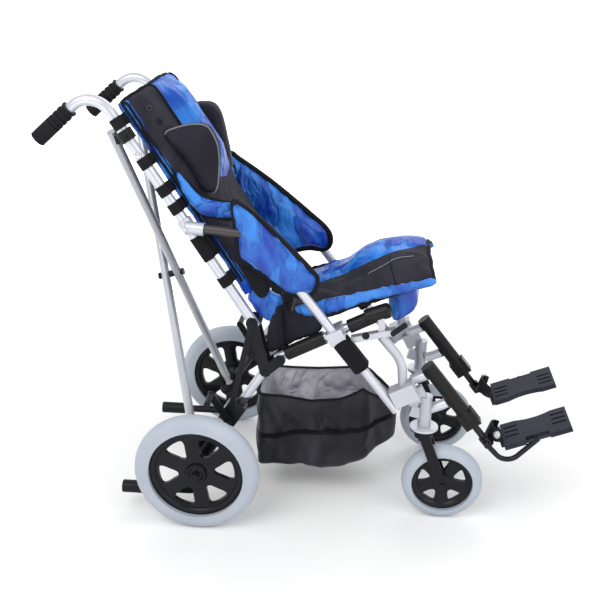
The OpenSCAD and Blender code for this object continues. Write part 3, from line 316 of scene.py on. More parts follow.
def makeCreaseGroup():
    # Warped noise, folded about its middle, gives sharp creases between soft swells. Folds run up and down, so
    # the pattern is drawn out along Z. Height feeds the bump; Shade is painted light and shade, sharp light and
    # dark streaks that stand in for the sheen on the swells and the shade in the folds.
    group, given, result = newGroup("creases", {"Scale": 12.0, "Warp": 0.6}, ["Height", "Shade"])
    warp = addNode(group, "TexNoise", {"Vector": given["Vector"], "Scale": 5.0, "Detail": 1.0})
    amount = addNode(group, "CombineXYZ", dict.fromkeys("XYZ", scaled(group, given["Warp"], 0.2)))
    push = addNode(group, "VectorMath", {0: warp.outputs["Color"], 1: amount.outputs[0], 2: given["Vector"]},
                   operation="MULTIPLY_ADD")
    drawn = addNode(group, "VectorMath", {0: push.outputs[0], 1: (1.35, 0.8, 0.5)}, operation="MULTIPLY")
    main = addNode(group, "TexNoise", {"Vector": drawn.outputs[0], "Scale": given["Scale"], "Detail": 2.5,
                                       "Roughness": 0.45}).outputs["Fac"]
    fold = mathNode(group, "ABSOLUTE", scaled(group, main, 2.0, -1.0))
    feed(group, result["Height"], mathNode(group, "POWER", scaled(group, fold, 2.4, clamp=True), 0.55))
    # Shade: painted highlight and painted shade streaks, for mixing colours
    feed(group, result["Shade"], scaled(group, main, 4.2, -1.6, True))
    return group


def makeWearGroup():
    # Dust and handling: broad noise times fine noise, 0 clean to 1 worn
    group, given, result = newGroup("wear", {"Scale": 20.0}, ["Mask", "Fine"])
    broad = addNode(group, "TexNoise", {"Vector": given["Vector"], "Scale": 9.0, "Detail": 3.0}).outputs["Fac"]
    fine = addNode(group, "TexNoise", {"Vector": given["Vector"], "Scale": scaled(group, given["Scale"], 10.0),
                                       "Detail": 5.0}).outputs["Fac"]
    feed(group, result["Mask"], scaled(group, scaled(group, broad, fine), 3.0, -0.4, True))
    feed(group, result["Fine"], fine)
    return group


weaveGroup, creaseGroup, wearGroup = makeWeaveGroup(), makeCreaseGroup(), makeWearGroup()


def startMaterial(name, roughness, metallic=0.0, coat=0.0, sheen=0.0, specular=0.5):
    material = bpy.data.materials.new(name)
    material.use_nodes = True
    tree = material.node_tree
    shader = tree.nodes["Principled BSDF"].inputs
    values = {"Roughness": roughness, "Metallic": metallic, "Coat Weight": coat, "Coat Roughness": 0.15,
              "Sheen Weight": sheen, "Sheen Roughness": 0.4, "Specular IOR Level": specular}
    for key, value in values.items():
        shader[key].default_value = value
    return material, tree, shader, addNode(tree, "TexCoord").outputs


def bumpFrom(tree, shader, *layers):
    # Chain of bump nodes, each a height socket with its strength and distance
    last = {}
    for height, strength, distance in layers:
        bump = addNode(tree, "Bump", {"Height": height, "Strength": strength, "Distance": distance, **last})
        last = {"Normal": bump.outputs["Normal"]}
    feed(tree, shader["Normal"], last["Normal"])


def hardMaterial(name, colour, worn, roughness, metallic, coat, grain, depth):
    # Worn patches and a fine grain, with little shine on the dark ones
    specular = 0.13 if max(colour) < 0.1 else 0.5
    material, tree, shader, coord = startMaterial(name, roughness, metallic, coat, specular=specular)
    wear = groupNode(tree, wearGroup, coord["Object"], Scale=grain)
    feed(tree, shader["Base Color"], mixColour(tree, wear["Mask"], colour, worn))
    feed(tree, shader["Roughness"], scaled(tree, wear["Fine"], 0.25, roughness - 0.12, True))
    bumpFrom(tree, shader, (wear["Fine"], 0.35, depth))
    return material


def startCloth(name, roughness, creaseScale, warp, threads, grain, **values):
    material, tree, shader, coord = startMaterial(name, roughness, **values)
    crease = groupNode(tree, creaseGroup, coord["Object"], Scale=creaseScale, Warp=warp)
    weave = groupNode(tree, weaveGroup, coord["UV"], Threads=threads)
    fine = groupNode(tree, wearGroup, coord["Object"], Scale=grain)
    return material, tree, shader, crease, weave["Height"], fine["Fine"]


# The share is painted light and shade: the creases give painted highlight streaks and painted shade in the folds, and
# raised threads are painted lighter than the gaps between them
def clothBlend(tree, crease, weave):  # share of the light colour in plain cloth
    return scaled(tree, weave, 0.35, scaled(tree, crease["Shade"], 0.5))


def nylonMaterial(name, dark, light, roughness, creaseScale, depth, coat):
    # Shiny coated nylon: creased swells, darker in the folds, a fine weave on top. The colour is painted light
    # and shade: the crease pattern mixes a shaded dark blue and a lit light blue into painted highlight streaks
    # and painted shade in the folds
    material, tree, shader, crease, weave, fine = startCloth(name, roughness, creaseScale, 0.7, 1400.0, 60.0,
                                                             coat=coat, sheen=0.04)
    feed(tree, shader["Base Color"], mixColour(tree, crease["Shade"], dark, light))
    feed(tree, shader["Roughness"], scaled(tree, fine, 0.3, roughness - 0.14, True))
    bumpFrom(tree, shader, (crease["Height"], 0.9, depth), (fine, 0.25, 0.0004), (weave, 0.25, 0.00012))
    return material


def clothMaterial(name, dark, light, roughness, threads, depth, creaseDepth):
    # Plain cloth, webbing and piping, coloured with painted shade and painted highlight from the creases and the weave
    specular = 0.12 if max(light) < 0.1 else 0.35
    material, tree, shader, crease, weave, fine = startCloth(name, roughness, 9.0, 0.5, threads, 90.0,
                                                             specular=specular)
    feed(tree, shader["Base Color"], mixColour(tree, clothBlend(tree, crease, weave), dark, light))
    feed(tree, shader["Roughness"], scaled(tree, fine, 0.15, roughness - 0.08, True))
    bumpFrom(tree, shader, (crease["Height"], 0.6, creaseDepth), (weave, 0.6, depth))
    return material


def twoToneMaterial(name, onDark, onLight, offDark, offLight, onRough, offRough, creaseScale, depth):
    # Two cloths in one cover: the piece's "band" attribute, a signed distance in metres, picks between them,
    # with a sewn groove at zero. Within each cloth the colour is painted light and shade from the creases and weave.
    material, tree, shader, crease, weave, fine = startCloth(name, onRough, creaseScale, 0.7, 900.0, 60.0,
                                                             specular=0.2)
    band = addNode(tree, "Attribute", attribute_name="band").outputs["Fac"]
    side = scaled(tree, band, 2500.0, 0.5, True)
    groove = scaled(tree, mathNode(tree, "ABSOLUTE", band), 420.0, clamp=True)
    # painted highlight streaks and painted shade in the folds, between each cloth's dark and light tones
    on = mixColour(tree, crease["Shade"], onDark, onLight)
    off = mixColour(tree, clothBlend(tree, crease, weave), offDark, offLight)
    feed(tree, shader["Base Color"], mixColour(tree, side, off, on))
    rough = mathNode(tree, "SUBTRACT", scaled(tree, side, onRough - offRough, offRough), 0.12)
    feed(tree, shader["Roughness"], scaled(tree, fine, 0.24, rough, True))
    softer = scaled(tree, crease["Height"], scaled(tree, side, 0.75, 0.25))
    bumpFrom(tree, shader, (groove, 0.8, 0.0012), (softer, 0.9, depth), (weave, 0.35, 0.00016))
    return material


# hard finishes: colour, worn colour, roughness, metallic, coat, grain, bump depth
hardSet = {
    "silverTube": ((0.60, 0.61, 0.67), (0.50, 0.51, 0.57), 0.32, 0.6, 0.25, 40.0, 0.00006),
    "staySilver": ((0.50, 0.52, 0.57), (0.42, 0.44, 0.49), 0.36, 0.55, 0.15, 40.0, 0.00006),
    "bracketSilver": ((0.58, 0.59, 0.65), (0.47, 0.48, 0.53), 0.4, 0.5, 0.1, 70.0, 0.00015),
    "steelBright": ((0.55, 0.55, 0.57), (0.4, 0.4, 0.42), 0.25, 0.95, 0.0, 80.0, 0.00005),
    "mouldedBlack": ((0.006, 0.006, 0.009), (0.016, 0.016, 0.02), 0.42, 0.0, 0.06, 90.0, 0.0002),
    "gripRubber": ((0.007, 0.007, 0.009), (0.016, 0.016, 0.018), 0.6, 0.0, 0.0, 120.0, 0.0003),
    "foamBlack": ((0.006, 0.006, 0.007), (0.017, 0.016, 0.016), 0.36, 0.0, 0.12, 150.0, 0.0004),
    "darkTube": ((0.035, 0.032, 0.034), (0.075, 0.06, 0.055), 0.3, 0.6, 0.3, 40.0, 0.00005),
    "rimBlack": ((0.004, 0.004, 0.007), (0.012, 0.012, 0.017), 0.32, 0.0, 0.2, 60.0, 0.0001),
    "tyreGrey": ((0.47, 0.52, 0.59), (0.37, 0.42, 0.49), 0.6, 0.0, 0.0, 60.0, 0.0002),
    "plateDark": ((0.018, 0.018, 0.030), (0.034, 0.034, 0.05), 0.5, 0.0, 0.0, 160.0, 0.0005),
    "loopBlack": ((0.006, 0.006, 0.008), (0.02, 0.02, 0.024), 0.3, 0.2, 0.3, 50.0, 0.0001)}

# plain cloths: dark and light colour (painted shade and painted highlight tones around the cloth's own colour),
# roughness, threads a metre, weave depth, crease depth
clothSet = {
    "charcoalCloth": ((0.014, 0.013, 0.020), (0.034, 0.033, 0.048), 0.72, 700.0, 0.0003, 0.002),
    "blackBinding": ((0.005, 0.005, 0.008), (0.015, 0.015, 0.02), 0.7, 500.0, 0.0003, 0.0005),
    "blackWebbing": ((0.006, 0.006, 0.008), (0.018, 0.018, 0.022), 0.75, 450.0, 0.0005, 0.0004),
    "greyPiping": ((0.16, 0.16, 0.19), (0.28, 0.28, 0.32), 0.6, 500.0, 0.0003, 0.0003)}

# two cloths in one: dark and light colour of each (painted shade and painted highlight tones around the cloth's own
# colour), both roughnesses, crease scale, crease depth
# the blue's own colour lies between these two tones; the dark one is painted shade, the light one painted highlight
blueColours = (0.0, 0.048, 0.40), (0.03, 0.23, 0.74)
twoToneSet = {
    "coverTwoTone": (*blueColours, (0.012, 0.011, 0.018), (0.032, 0.031, 0.046), 0.34, 0.7, 15.0, 0.006),
    # the bag's black cloth has a lighter tone for painted highlights on its wrinkles
    "bagCloth": ((0.62, 0.61, 0.68), (0.82, 0.81, 0.88), (0.003, 0.003, 0.005), (0.045, 0.045, 0.058), 0.6, 0.38,
                 10.0, 0.008)}

look = {"blueNylon": nylonMaterial("blueNylon", *blueColours, roughness=0.38, creaseScale=17.0, depth=0.008,
                                   coat=0.06)}
for maker, table in ((hardMaterial, hardSet), (clothMaterial, clothSet), (twoToneMaterial, twoToneSet)):
    look.update({name: maker(name, *values) for name, values in table.items()})


def placeMask(tree, weights, offset):
    # 0 to 1 across the plane weights . (x, |y|, z) + offset = 0, in metres on Object coordinates
    split = addNode(tree, "SeparateXYZ", {0: addNode(tree, "TexCoord").outputs["Object"]}).outputs
    total = scaled(tree, split["X"], weights[0], offset)
    total = scaled(tree, mathNode(tree, "ABSOLUTE", split["Y"]), weights[1], total)
    total = scaled(tree, split["Z"], weights[2], total)
    return scaled(tree, total, 500.0, 0.5, True)


def splitFinish(name, first, second, *masks):
    # Two finishes on one node: the product of the masks picks the second, a colour with its metallic value
    material = look[first].copy()
    material.name = name
    tree = material.node_tree
    shader = tree.nodes["Principled BSDF"].inputs
    pick = placeMask(tree, *masks[0])
    for mask in masks[1:]:
        pick = scaled(tree, pick, placeMask(tree, *mask))
    was, start = shader["Base Color"].links[0].from_socket, shader["Metallic"].default_value
    feed(tree, shader["Base Color"], mixColour(tree, pick, was, second[0]))
    feed(tree, shader["Metallic"], scaled(tree, pick, second[1] - start, start))
    look[name] = material


# second finishes, and where they begin, in metres
brightFinish, darkFinish = ((0.66, 0.67, 0.73), 0.4), ((0.008, 0.008, 0.010), 0.0)
brownFinish = (0.045, 0.036, 0.034), 0.4
splitSet = {"armX": 0.110, "rearLegZ": 0.322, "forkZ": 0.247, "knee": (0.542, 0.404), "across": (0.7848, 0.6198),
            "along": (0.6198, -0.7848), "stubs": 0.0185, "stubsFrom": 0.115, "slideFrom": 0.196}


def kneePlane(way, offset):
    # The mask plane square to a way in the leg rest's own plane, off the knee by the offset
    (x, z), (kneeX, kneeZ) = splitSet[way], splitSet["knee"]
    return (-x, 0, -z), x * (kneeX + rearAxleX) + z * kneeZ + offset


splitFinish("armTube", "silverTube", brownFinish, ((-1, 0, 0), rearAxleX + splitSet["armX"]))
splitFinish("rearLegTube", "silverTube", darkFinish, ((0, 0, -1), splitSet["rearLegZ"]))
splitFinish("legRestBlack", "foamBlack", brightFinish, kneePlane("across", -splitSet["stubs"]),
            kneePlane("along", splitSet["stubsFrom"]))
splitFinish("slideTube", "loopBlack", brightFinish, kneePlane("along", splitSet["slideFrom"]))
splitFinish("forkBlack", "mouldedBlack", brightFinish, ((0, 0, 1), -splitSet["forkZ"]))
print("stage: materials")

# the CAD nodes that stay, with their finishes
nodeFinish = {
    "back_tube": "silverTube", "hand_grip": "gripRubber", "back_straps": "blackWebbing",
    "stay_bracket": "mouldedBlack", "arm_tube": "armTube", "arm_bracket": "bracketSilver",
    "seat_tube": "silverTube", "seat_foam": "foamBlack", "knuckle": "mouldedBlack", "rear_leg": "rearLegTube",
    "axle_block": "mouldedBlack", "brake_lever": "mouldedBlack", "rear_rim": "rimBlack", "rear_tyre": "tyreGrey",
    "front_post": "staySilver", "front_joints": "bracketSilver", "lock_lever": "mouldedBlack",
    "caster_housing": "staySilver", "caster_fork": "forkBlack", "front_rim": "rimBlack", "front_tyre": "tyreGrey",
    "leg_rest": "legRestBlack", "foot_loop": "slideTube", "footplate": "plateDark",
    "stay_to_left_foot": "staySilver", "stay_to_right_foot": "staySilver", "stay_bolt": "mouldedBlack"}
for name, obj in nodes.items():
    part = name.split("_", 1)[1] if name.split("_", 1)[0] in sides else name
    if part in nodeFinish:
        for slot in obj.material_slots:
            slot.material = look[nodeFinish[part]]
print("stage: frame finishes")

# wheels: moulded rims with round cornered windows, hub and rim band, in (radius, along) and, for a window's
# upper half, (radius, half width)
wheelSet = {
    "rear": {
        "axle": (0, 152.5), "y": 273, "windows": 6, "turn": 7.5, "plate": (101, 7.5),
        "hole": [(42, 0), (46, 9), (60, 17), (79, 27), (91, 24), (95, 0)],
        "band": [(98, -6), (101, -11), (105, -13.2), (112, -13.6), (114.4, -12)],
        "hub": [(0, -23), (9, -23), (10, -21), (10, -17), (15, -16.5), (17, -14), (18, -15.5), (23, -15),
                (26, -11), (27, -6), (27, 6), (26, 11), (18, 15), (10, 21), (9, 23), (0, 23)]},
    "front": {
        "axle": (594, 100), "y": 166, "windows": 5, "turn": 20, "plate": (64, 6),
        "hole": [(29, 0), (32, 7), (42, 14), (54, 19), (59, 15), (60, 0)],
        "band": [(60, -5), (64, -10), (68, -12), (73, -12.4), (74.7, -11)],
        "hub": [(0, -21), (8, -21), (9, -19), (9, -12), (15, -11), (19, -8), (20, 0), (19, 8), (15, 11), (9, 12),
                (9, 19), (8, 21), (0, 21)]}}


def windowPlate(name, loops, half, soft):
    # Closed loops filled between, the first one outside, with a thickness and soft edges
    curve = bpy.data.curves.new(name, "CURVE")
    curve.dimensions, curve.fill_mode = "2D", "BOTH"
    curve.extrude, curve.bevel_depth, curve.bevel_resolution = half - soft, soft, 2
    for loop in loops:
        spline = curve.splines.new("POLY")
        spline.points.add(len(loop) - 1)
        flat = np.concatenate([loop, np.zeros((len(loop), 1)), np.ones((len(loop), 1))], 1)
        spline.points.foreach_set("co", flat.astype(np.float32).ravel())
        spline.use_cyclic_u = True
    work = newObject(name, curve)
    mesh = evaluatedMesh(work)
    bpy.data.objects.remove(work)
    bpy.data.curves.remove(curve)
    return newObject(name, mesh)


def makeWheel(side, kind):
    # Plate: a disc less round windows, each a loop of (radius, half width) turned to its place
    w, sign, name, material = wheelSet[kind], sides[side], side + kind.capitalize(), look["rimBlack"]
    loops = [roundProfile(1, 96) * w["plate"][0] / 1000]
    half = np.array(w["hole"], float)
    hole = smoothPath(np.concatenate([half, half[-2:0:-1] * [1, -1]]), 36, True)
    for k in range(w["windows"]):
        c, s = heading(w["turn"] + 360 * k / w["windows"])
        loops.append(hole @ np.array([[c, s], [-s, c]]) / 1000)
    plate = windowPlate(name + "Rim", loops, w["plate"][1] / 1000, 0.0022)
    p = coordsOf(plate) * 1000
    setCoords(plate, place(w["axle"][0] + p[:, 0], sign * w["y"] + p[:, 2], w["axle"][1] + p[:, 1]))
    plate.data.materials.clear()
    plate.data.materials.append(material)
    smooth(plate.data)
    outward(plate)
    centre, outer = place(w["axle"][0], sign * w["y"], w["axle"][1]), (0, -sign, 0)
    band = w["band"] + [(r, -along) for r, along in w["band"][::-1]]
    pieces = [plate, lathe(name + "Band", np.array(band + band[:1]) / 1000, centre, outer, material, 96),
              lathe(name + "Hub", np.array(w["hub"]) / 1000, centre, outer, material, 48)]
    for obj in pieces:
        obj.data.set_sharp_from_angle(angle=math.radians(38))
        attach(obj, f"{side}_{kind}_wheel")
    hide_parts(f"{side}_{kind}_rim")


# knobs and bolt heads: x, y, z, radius, height, and their profile in shares of radius and height
knobSet = {"slideKnob": (394, 221, 506, 8.5, 9), "footKnob": (719, 158, 233, 9, 12),
           "stayBolt": (-146, 208, 949, 7.5, 6), "recline": (-117, 206, 904, 8, 5)}
knobDome = [(0, 0), (0.8, 0), (1, 0.12), (1, 0.62), (0.86, 0.86), (0.5, 0.98), (0, 1)]


def makeKnobs(side):
    # Domed head with a ribbed rim: radius = r * (1 + 0.07 * cos(9 * angle)) on the skirt rings
    sign = sides[side]
    for name, (x, y, z, r, h) in knobSet.items():
        profile = np.array([(a * r, b * h) for a, b in knobDome]) / 1000
        material = look["steelBright" if name in ("footKnob", "recline") else "mouldedBlack"]
        knob = lathe(side + name[0].upper() + name[1:], profile, place(x, sign * (y - 2), z), (0, sign, 0),
                     material, 36)
        p, c = coordsOf(knob), place(x, sign * y, z)
        dx, dz = p[:, 0] - c[0], p[:, 2] - c[2]
        k = 1 + 0.07 * np.cos(9 * np.arctan2(dz, dx)) * (np.hypot(dx, dz) > 0.7 * r / 1000)
        p[:, 0], p[:, 2] = c[0] + dx * k, c[2] + dz * k
        setCoords(knob, p)
        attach(knob, f"{side}_plate" if name == "footKnob" else f"{side}_frame")


# sleeves on the tubes, from (x, z) to (x, z) at y: the arm tube's webbing wrap and the seat tube's foam end
sleeveSet = {"arm": ((334, 485), (389, 414.5), 204), "armHalf": 20.5,
             "foam": ((392, 534.6), (450, 557), 179), "foamR": 17.6, "capR": 18.6}


def makeSleeves(side):
    # Arm wrap: superellipse section |x|^4 + |y|^4 = half^4; foam: round section growing smoothly to the cap
    b, t = sleeveSet, np.linspace(0, 1, 26)

    def line(start, end, y):
        x, z = (start[k] + (end[k] - start[k]) * t for k in range(2))
        return place(x, sides[side] * y, z)

    def roundedEnd(x, depth):
        return np.sqrt(np.clip(1 - np.clip(x, 0, 1)**2 * depth, 0, 1))

    square = roundProfile(1, 28)
    square = np.sign(square) * np.abs(square)**0.5 * b["armHalf"] / 1000
    ends = 1 - 0.16 * (1 - roundedEnd(np.abs(t - 0.5) * 2 - 0.86, 1 / 0.0196))
    wrap = sweep(f"{side}ArmWrap", line(*b["arm"]), square, look["blackWebbing"],
                 scale=ends * (1 + 0.012 * np.sin(t * 60)))
    grow = b["foamR"] + (b["capR"] - b["foamR"]) * softStep(t / 0.35)
    foam = sweep(f"{side}FoamEnd", line(*b["foam"]), roundProfile(1, 26), look["foamBlack"],
                 scale=grow * roundedEnd((t - 0.84) / 0.16, 0.75) / 1000)
    for obj in (wrap, foam):
        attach(obj, f"{side}_frame")


# heel loops: a moulded band behind each footplate
heelSet = {"rear": (722, 206), "up": 24, "back": 20, "inner": 92, "outer": 160, "tall": 0.040, "thick": 0.0042}


def makeHeel(side):
    # U path: y runs from the inner to the outer side, depth = back * sin(pi * t)^0.6
    b = heelSet
    t = np.linspace(0, 1, 40)
    bow = np.sin(math.pi * t)**0.6
    y = b["inner"] + (b["outer"] - b["inner"]) * t
    path = place(b["rear"][0] + 8 - (b["back"] + 8) * bow, sides[side] * y, b["rear"][1] + b["up"] - 6 * (1 - bow))
    tall = bandProfile(b["tall"], b["thick"])[:, ::-1]
    heel = sweep(f"{side}Heel", path, tall, look["mouldedBlack"], hint=(0.35, 0, 1), scale=0.55 + 0.45 * bow)
    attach(heel, f"{side}_plate")


# helpers for padded pieces
def ripples(points, scale, seed):
    # Sum of 14 sine waves in random directions, folded about zero: sharp valleys between round swells, -1 to 1
    rng = np.random.default_rng(seed)
    total, waves = np.zeros(len(points)), 14
    for _ in range(waves):
        direction = rng.normal(size=3)
        direction /= np.linalg.norm(direction)
        rate = scale * (0.6 + 1.2 * rng.random())
        total += np.sin(points @ direction * rate + rng.random() * 6.283) / math.sqrt(waves)
    return 1 - 2 * np.abs(np.tanh(total))


def closedPad(name, sheets, quads, ring, material):
    # Two sheets with the same quads, the borders listed in ring joined by a wall
    size = sheets[0].size // 3
    wall = np.stack([ring, np.roll(ring, -1), np.roll(ring, -1) + size, ring + size], 1)
    points = np.concatenate([sheet.reshape(-1, 3) for sheet in sheets])
    return outward(makeMesh(name, points, np.concatenate([quads, quads[:, ::-1] + size, wall]), material))


def slabPad(name, front, back, material):
    # Closed pad from a front grid and a back grid
    index = np.arange(front.size // 3).reshape(front.shape[:2])
    ring = np.concatenate([index[0], index[1:, -1], index[-1, -2::-1], index[-2:0:-1, 0]])
    return closedPad(name, (front, back), gridFaces(*index.shape), ring, material)


def outlinePad(name, outline, toFrame, outer, inner, rim, material, full=4.0):
    # Rings shrunk from a closed outline to its centre: height = rim + (crown - rim) * (1 - r^full)^0.5 each side
    o = smoothPath(outline, 88, True)
    c = o.mean(0)
    r = np.linspace(1, 0, 13)[:, None]
    lift = np.sqrt(np.clip(1 - r**full, 0, 1))
    flat = c + (o - c)[None] * r[..., None]
    middle, sign = (outer + inner) / 2, math.copysign(1, outer - inner)
    sheets = []
    for crown, turn in ((outer, 1), (inner, -1)):
        edge = middle + turn * sign * rim / 2
        height = edge + (crown - edge) * lift
        sheets.append(toFrame(flat[..., 0], flat[..., 1], np.broadcast_to(height, flat.shape[:2])))
    return closedPad(name, sheets, gridFaces(*flat.shape[:2], False, True), np.arange(len(o)), material)


def inflate(obj, voxel, pressure, cap, wrinkle, scale, seed):
    # Remesh, 20 frames of cloth under inner pressure, each point's move cut to the cap, then fabric ripples
    remesh = obj.modifiers.new("remesh", "REMESH")
    remesh.mode = "VOXEL"
    remesh.voxel_size = voxel
    applyModifiers(obj)
    start = coordsOf(obj)
    cloth = obj.modifiers.new("cloth", "CLOTH")
    settings = cloth.settings
    settings.quality = 4
    settings.mass = 0.2
    settings.use_pressure = True
    settings.uniform_pressure_force = pressure
    settings.tension_stiffness = settings.compression_stiffness = 12
    settings.shear_stiffness = 6
    settings.bending_stiffness = 0.2
    settings.effector_weights.gravity = 0
    cloth.collision_settings.use_collision = False
    scene = bpy.context.scene
    for step in range(1, 21):
        scene.frame_set(step)
    move = coordsOf(obj.evaluated_get(bpy.context.evaluated_depsgraph_get())) - start
    move *= np.minimum(1, cap / (np.linalg.norm(move, axis=1)[:, None] + 1e-9))
    obj.modifiers.clear()
    scene.frame_set(1)
    setCoords(obj, start + move)
    now = coordsOf(obj)
    setCoords(obj, now + normalsOf(obj) * (wrinkle * ripples(now, scale, seed))[:, None])
    smooth(obj.data)


def weaveUv(obj, alongU, alongV):
    # Flat projection in metres, so that the weave keeps its scale
    points = coordsOf(obj)
    setUv(obj.data, np.stack([points @ np.asarray(along, float) for along in (alongU, alongV)], 1))


def toneBand(obj, distance):
    # Signed distance in metres to the seam between the two cloths, read by the material
    layer = obj.data.attributes.new("band", "FLOAT", "POINT")
    layer.data.foreach_set("value", np.asarray(distance, np.float32))


def refine(obj):
    fine = obj.modifiers.new("fine", "SUBSURF")
    fine.levels = fine.render_levels = 1


def lay(obj, points, lift):
    # Nearest surface point to each given point, raised along the surface's normal
    mesh = obj.data
    tree = BVHTree.FromPolygons([v.co[:] for v in mesh.vertices], [tuple(p.vertices) for p in mesh.polygons])
    found = (tree.find_nearest(Vector(p))[:2] for p in points)
    return np.array([np.array(spot) + np.array(normal) * lift for spot, normal in found])


def softSeat(obj, body, *nodeNames, pad=0.6):
    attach(obj, body)
    if nodeNames:
        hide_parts(*nodeNames)


def finishPad(obj, puff, alongU, alongV, body, *nodeNames, pad=0.6, tone=None):
    # Inflate with puff (voxel, pressure, cap, wrinkle, ripple scale, seed), then seam, weave and seat
    inflate(obj, *puff)
    if tone:
        toneBand(obj, tone(obj) / 1000)
    weaveUv(obj, alongU, alongV)
    refine(obj)
    softSeat(obj, body, *nodeNames, pad=pad)
    return obj


def sidePad(name, outline, across, rim, colour, puff, body, *nodeNames, pad=0.6, full=4.0):
    # A pad in the plane of a side frame, its outline in (x, z) and its faces at the two distances across
    obj = outlinePad(name, outline, sidePlane, *across, rim, look[colour], full)
    finishPad(obj, puff, (1, 0, 0), (0, 0, 1), body, *nodeNames, pad=pad)


def edgeBinding(name, outline, count, y, profile, body):
    # Binding round a side outline
    o = smoothPath(outline, count, True)
    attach(sweep(name, sidePlane(o[:, 0], o[:, 1], y), profile, look["blackBinding"], closed=True), body)


def laidTrim(name, cushion, line, lift, profile, hint=(0, 1, 0), rounds=3, colour="blackBinding"):
    # A line laid on a cushion's surface, evened out, with a profile along it
    return sweep(name, evenOut(lay(cushion, line, lift), rounds, False), profile, look[colour], hint)


def foldWith(obj):
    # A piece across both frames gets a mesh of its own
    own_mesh(obj)


def rideAndFold(pieces):
    for piece in pieces:
        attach(piece, "right_frame")
        foldWith(piece)


def onPlane(origin, along, out, s, n, y):
    # Millimetres along a tilted plane, off it and across, to the frame
    s, n = np.asarray(s, float), np.asarray(n, float)
    return place(origin[0] + s * along[0] + n * out[0], y, origin[1] + s * along[1] + n * out[1])


def planeCoords(origin, along, out, obj):
    # The same three measures for an object's points
    p = coordsOf(obj) * 1000
    x, z = p[:, 0] - rearAxleX * 1000 - origin[0], p[:, 2] - origin[1]
    return x * along[0] + z * along[1], x * out[0] + z * out[1], p[:, 1]


def inSide(way):  # a direction of the side plane in space
    return way[0], 0, way[1]


def padFall(v):
    # Share of the crown left at v = -1 to 1 across a cushion: cos(90 degrees * |v|^1.6)
    return np.cos(math.pi / 2 * np.minimum(np.abs(v), 1)**1.6)


# back cushion: blue middle panel, charcoal borders that slope to blue side walls with a dark seam
backSet = {"knuckle": (171, 414), "lean": 122.7, "low": 160, "high": 691, "half": 172, "rear": 30, "edge": 60,
           "crown": 108, "panel": 80, "dome": 27, "skew": 0.05, "corner": 26, "waist": 0.02, "rimShare": 0.04,
           "topRound": 8, "puff": (0.0066, 3.0, 0.006, 0.0013, 80, 3), "seamLow": 46, "seamHigh": 60,
           "eyelets": ((640, 142), (604, 138))}
backDir, backOut = heading(backSet["lean"]), heading(backSet["lean"] - 90)
backPlane = backSet["knuckle"], backDir, backOut


def onBack(s, n, y):  # millimetres up the back from the knuckle, ahead of it, and across
    return onPlane(*backPlane, s, n, y)


def backFace(s, y):
    # Front height: edge + (crown - edge) * padFall, the middle panel's own dome dying out at the top, and a
    # slight skew
    b = backSet
    swell = b["dome"] * softStep((b["high"] - 6 - s) / 56) * softStep((s - 400) / 90)
    crown = b["crown"] - 20 * softStep((450 - s) / 90)
    front = b["edge"] + (crown - b["edge"]) * padFall(y / b["half"])
    return front + swell * np.clip(1 - (y / b["panel"])**2, 0, 1) + b["skew"] * y


def backTone(obj):
    # Positive on the blue panel, which ends behind the head pads, and on the side walls; plain behind
    b = backSet
    s, n, y = planeCoords(*backPlane, obj)
    wall = np.minimum(np.abs(y) - b["half"] * 0.93, b["seamHigh"] - n)
    tone = np.maximum(b["panel"] - 130 * softStep((436 - s) / 50) - np.abs(y), wall)
    tone[(n < b["rear"] + 8) & (np.abs(y) < b["half"] * 0.9)] = -20
    return tone


def makeBack():
    b = backSet
    s, v = np.meshgrid(np.linspace(b["low"], b["high"], 64), np.linspace(-1, 1, 48), indexing="ij")
    c = b["corner"]
    fall = c - np.sqrt(np.clip(c**2 - np.clip(s - b["high"] + c, 0, c)**2, 0, None))
    y = v * (b["half"] * (1 - b["waist"] * np.sin(math.pi * (s - b["low"]) / 530)) - fall * 0.5)
    rim = np.clip((1 - np.abs(v)) / b["rimShare"], 0, 1)
    end = np.clip((b["high"] - s) / b["topRound"], 0, 1)
    ease = 1 - 0.2 * (1 - np.sqrt(1 - (1 - np.minimum(rim, end))**2))
    front = onBack(s, b["rear"] + (backFace(s, y) - b["rear"]) * ease, y)
    obj = slabPad("backCushion", front, onBack(s, b["rear"] + 4 * (1 - ease), y), look["coverTwoTone"])
    return finishPad(obj, b["puff"], (0, 1, 0), inSide(backDir), "right_frame", "back_cushion", tone=backTone)


def makeBackTrim(cushion):
    # Binding over the top from one low corner to the other, piping beside the panel, and seams
    b, made = backSet, []
    h, top, count = b["half"], b["high"], 60
    y = np.linspace(-h - 2, h + 2, count)
    loop = np.stack([np.full(count, top + 1.0), backFace(top, y) - 6, y], 1)
    legs = [[(s, b["edge"], sign * (h + 2)) for s in (560, 620, 668)] for sign in (-1, 1)]
    loop = smoothPath(np.concatenate([legs[0], loop, legs[1][::-1]]), 170)
    made.append(laidTrim("backBinding", cushion, onBack(*loop.T), 0.0012, roundProfile(0.0042, 8, 0.8), (0, 0.2, 1)))
    for side, sign in sides.items():
        edge = sign * b["panel"]
        line = onBack(np.linspace(top - 2, 434, count), backFace(560, edge), np.full(count, edge))
        made.append(laidTrim(f"{side}BackPiping", cushion, line, 0.0008, roundProfile(0.0034, 8)))
        for k, (height, radius) in enumerate(((b["seamLow"], 0.0036), (b["seamHigh"], 0.0017))):
            line = smoothPath([(s, height, sign * (h + 2)) for s in (200, 330, 450, 560, 660, 684)], 90)
            made.append(laidTrim(f"{side}BackSeam{k}", cushion, onBack(*line.T), 0.0, roundProfile(radius, 6)))
    return made


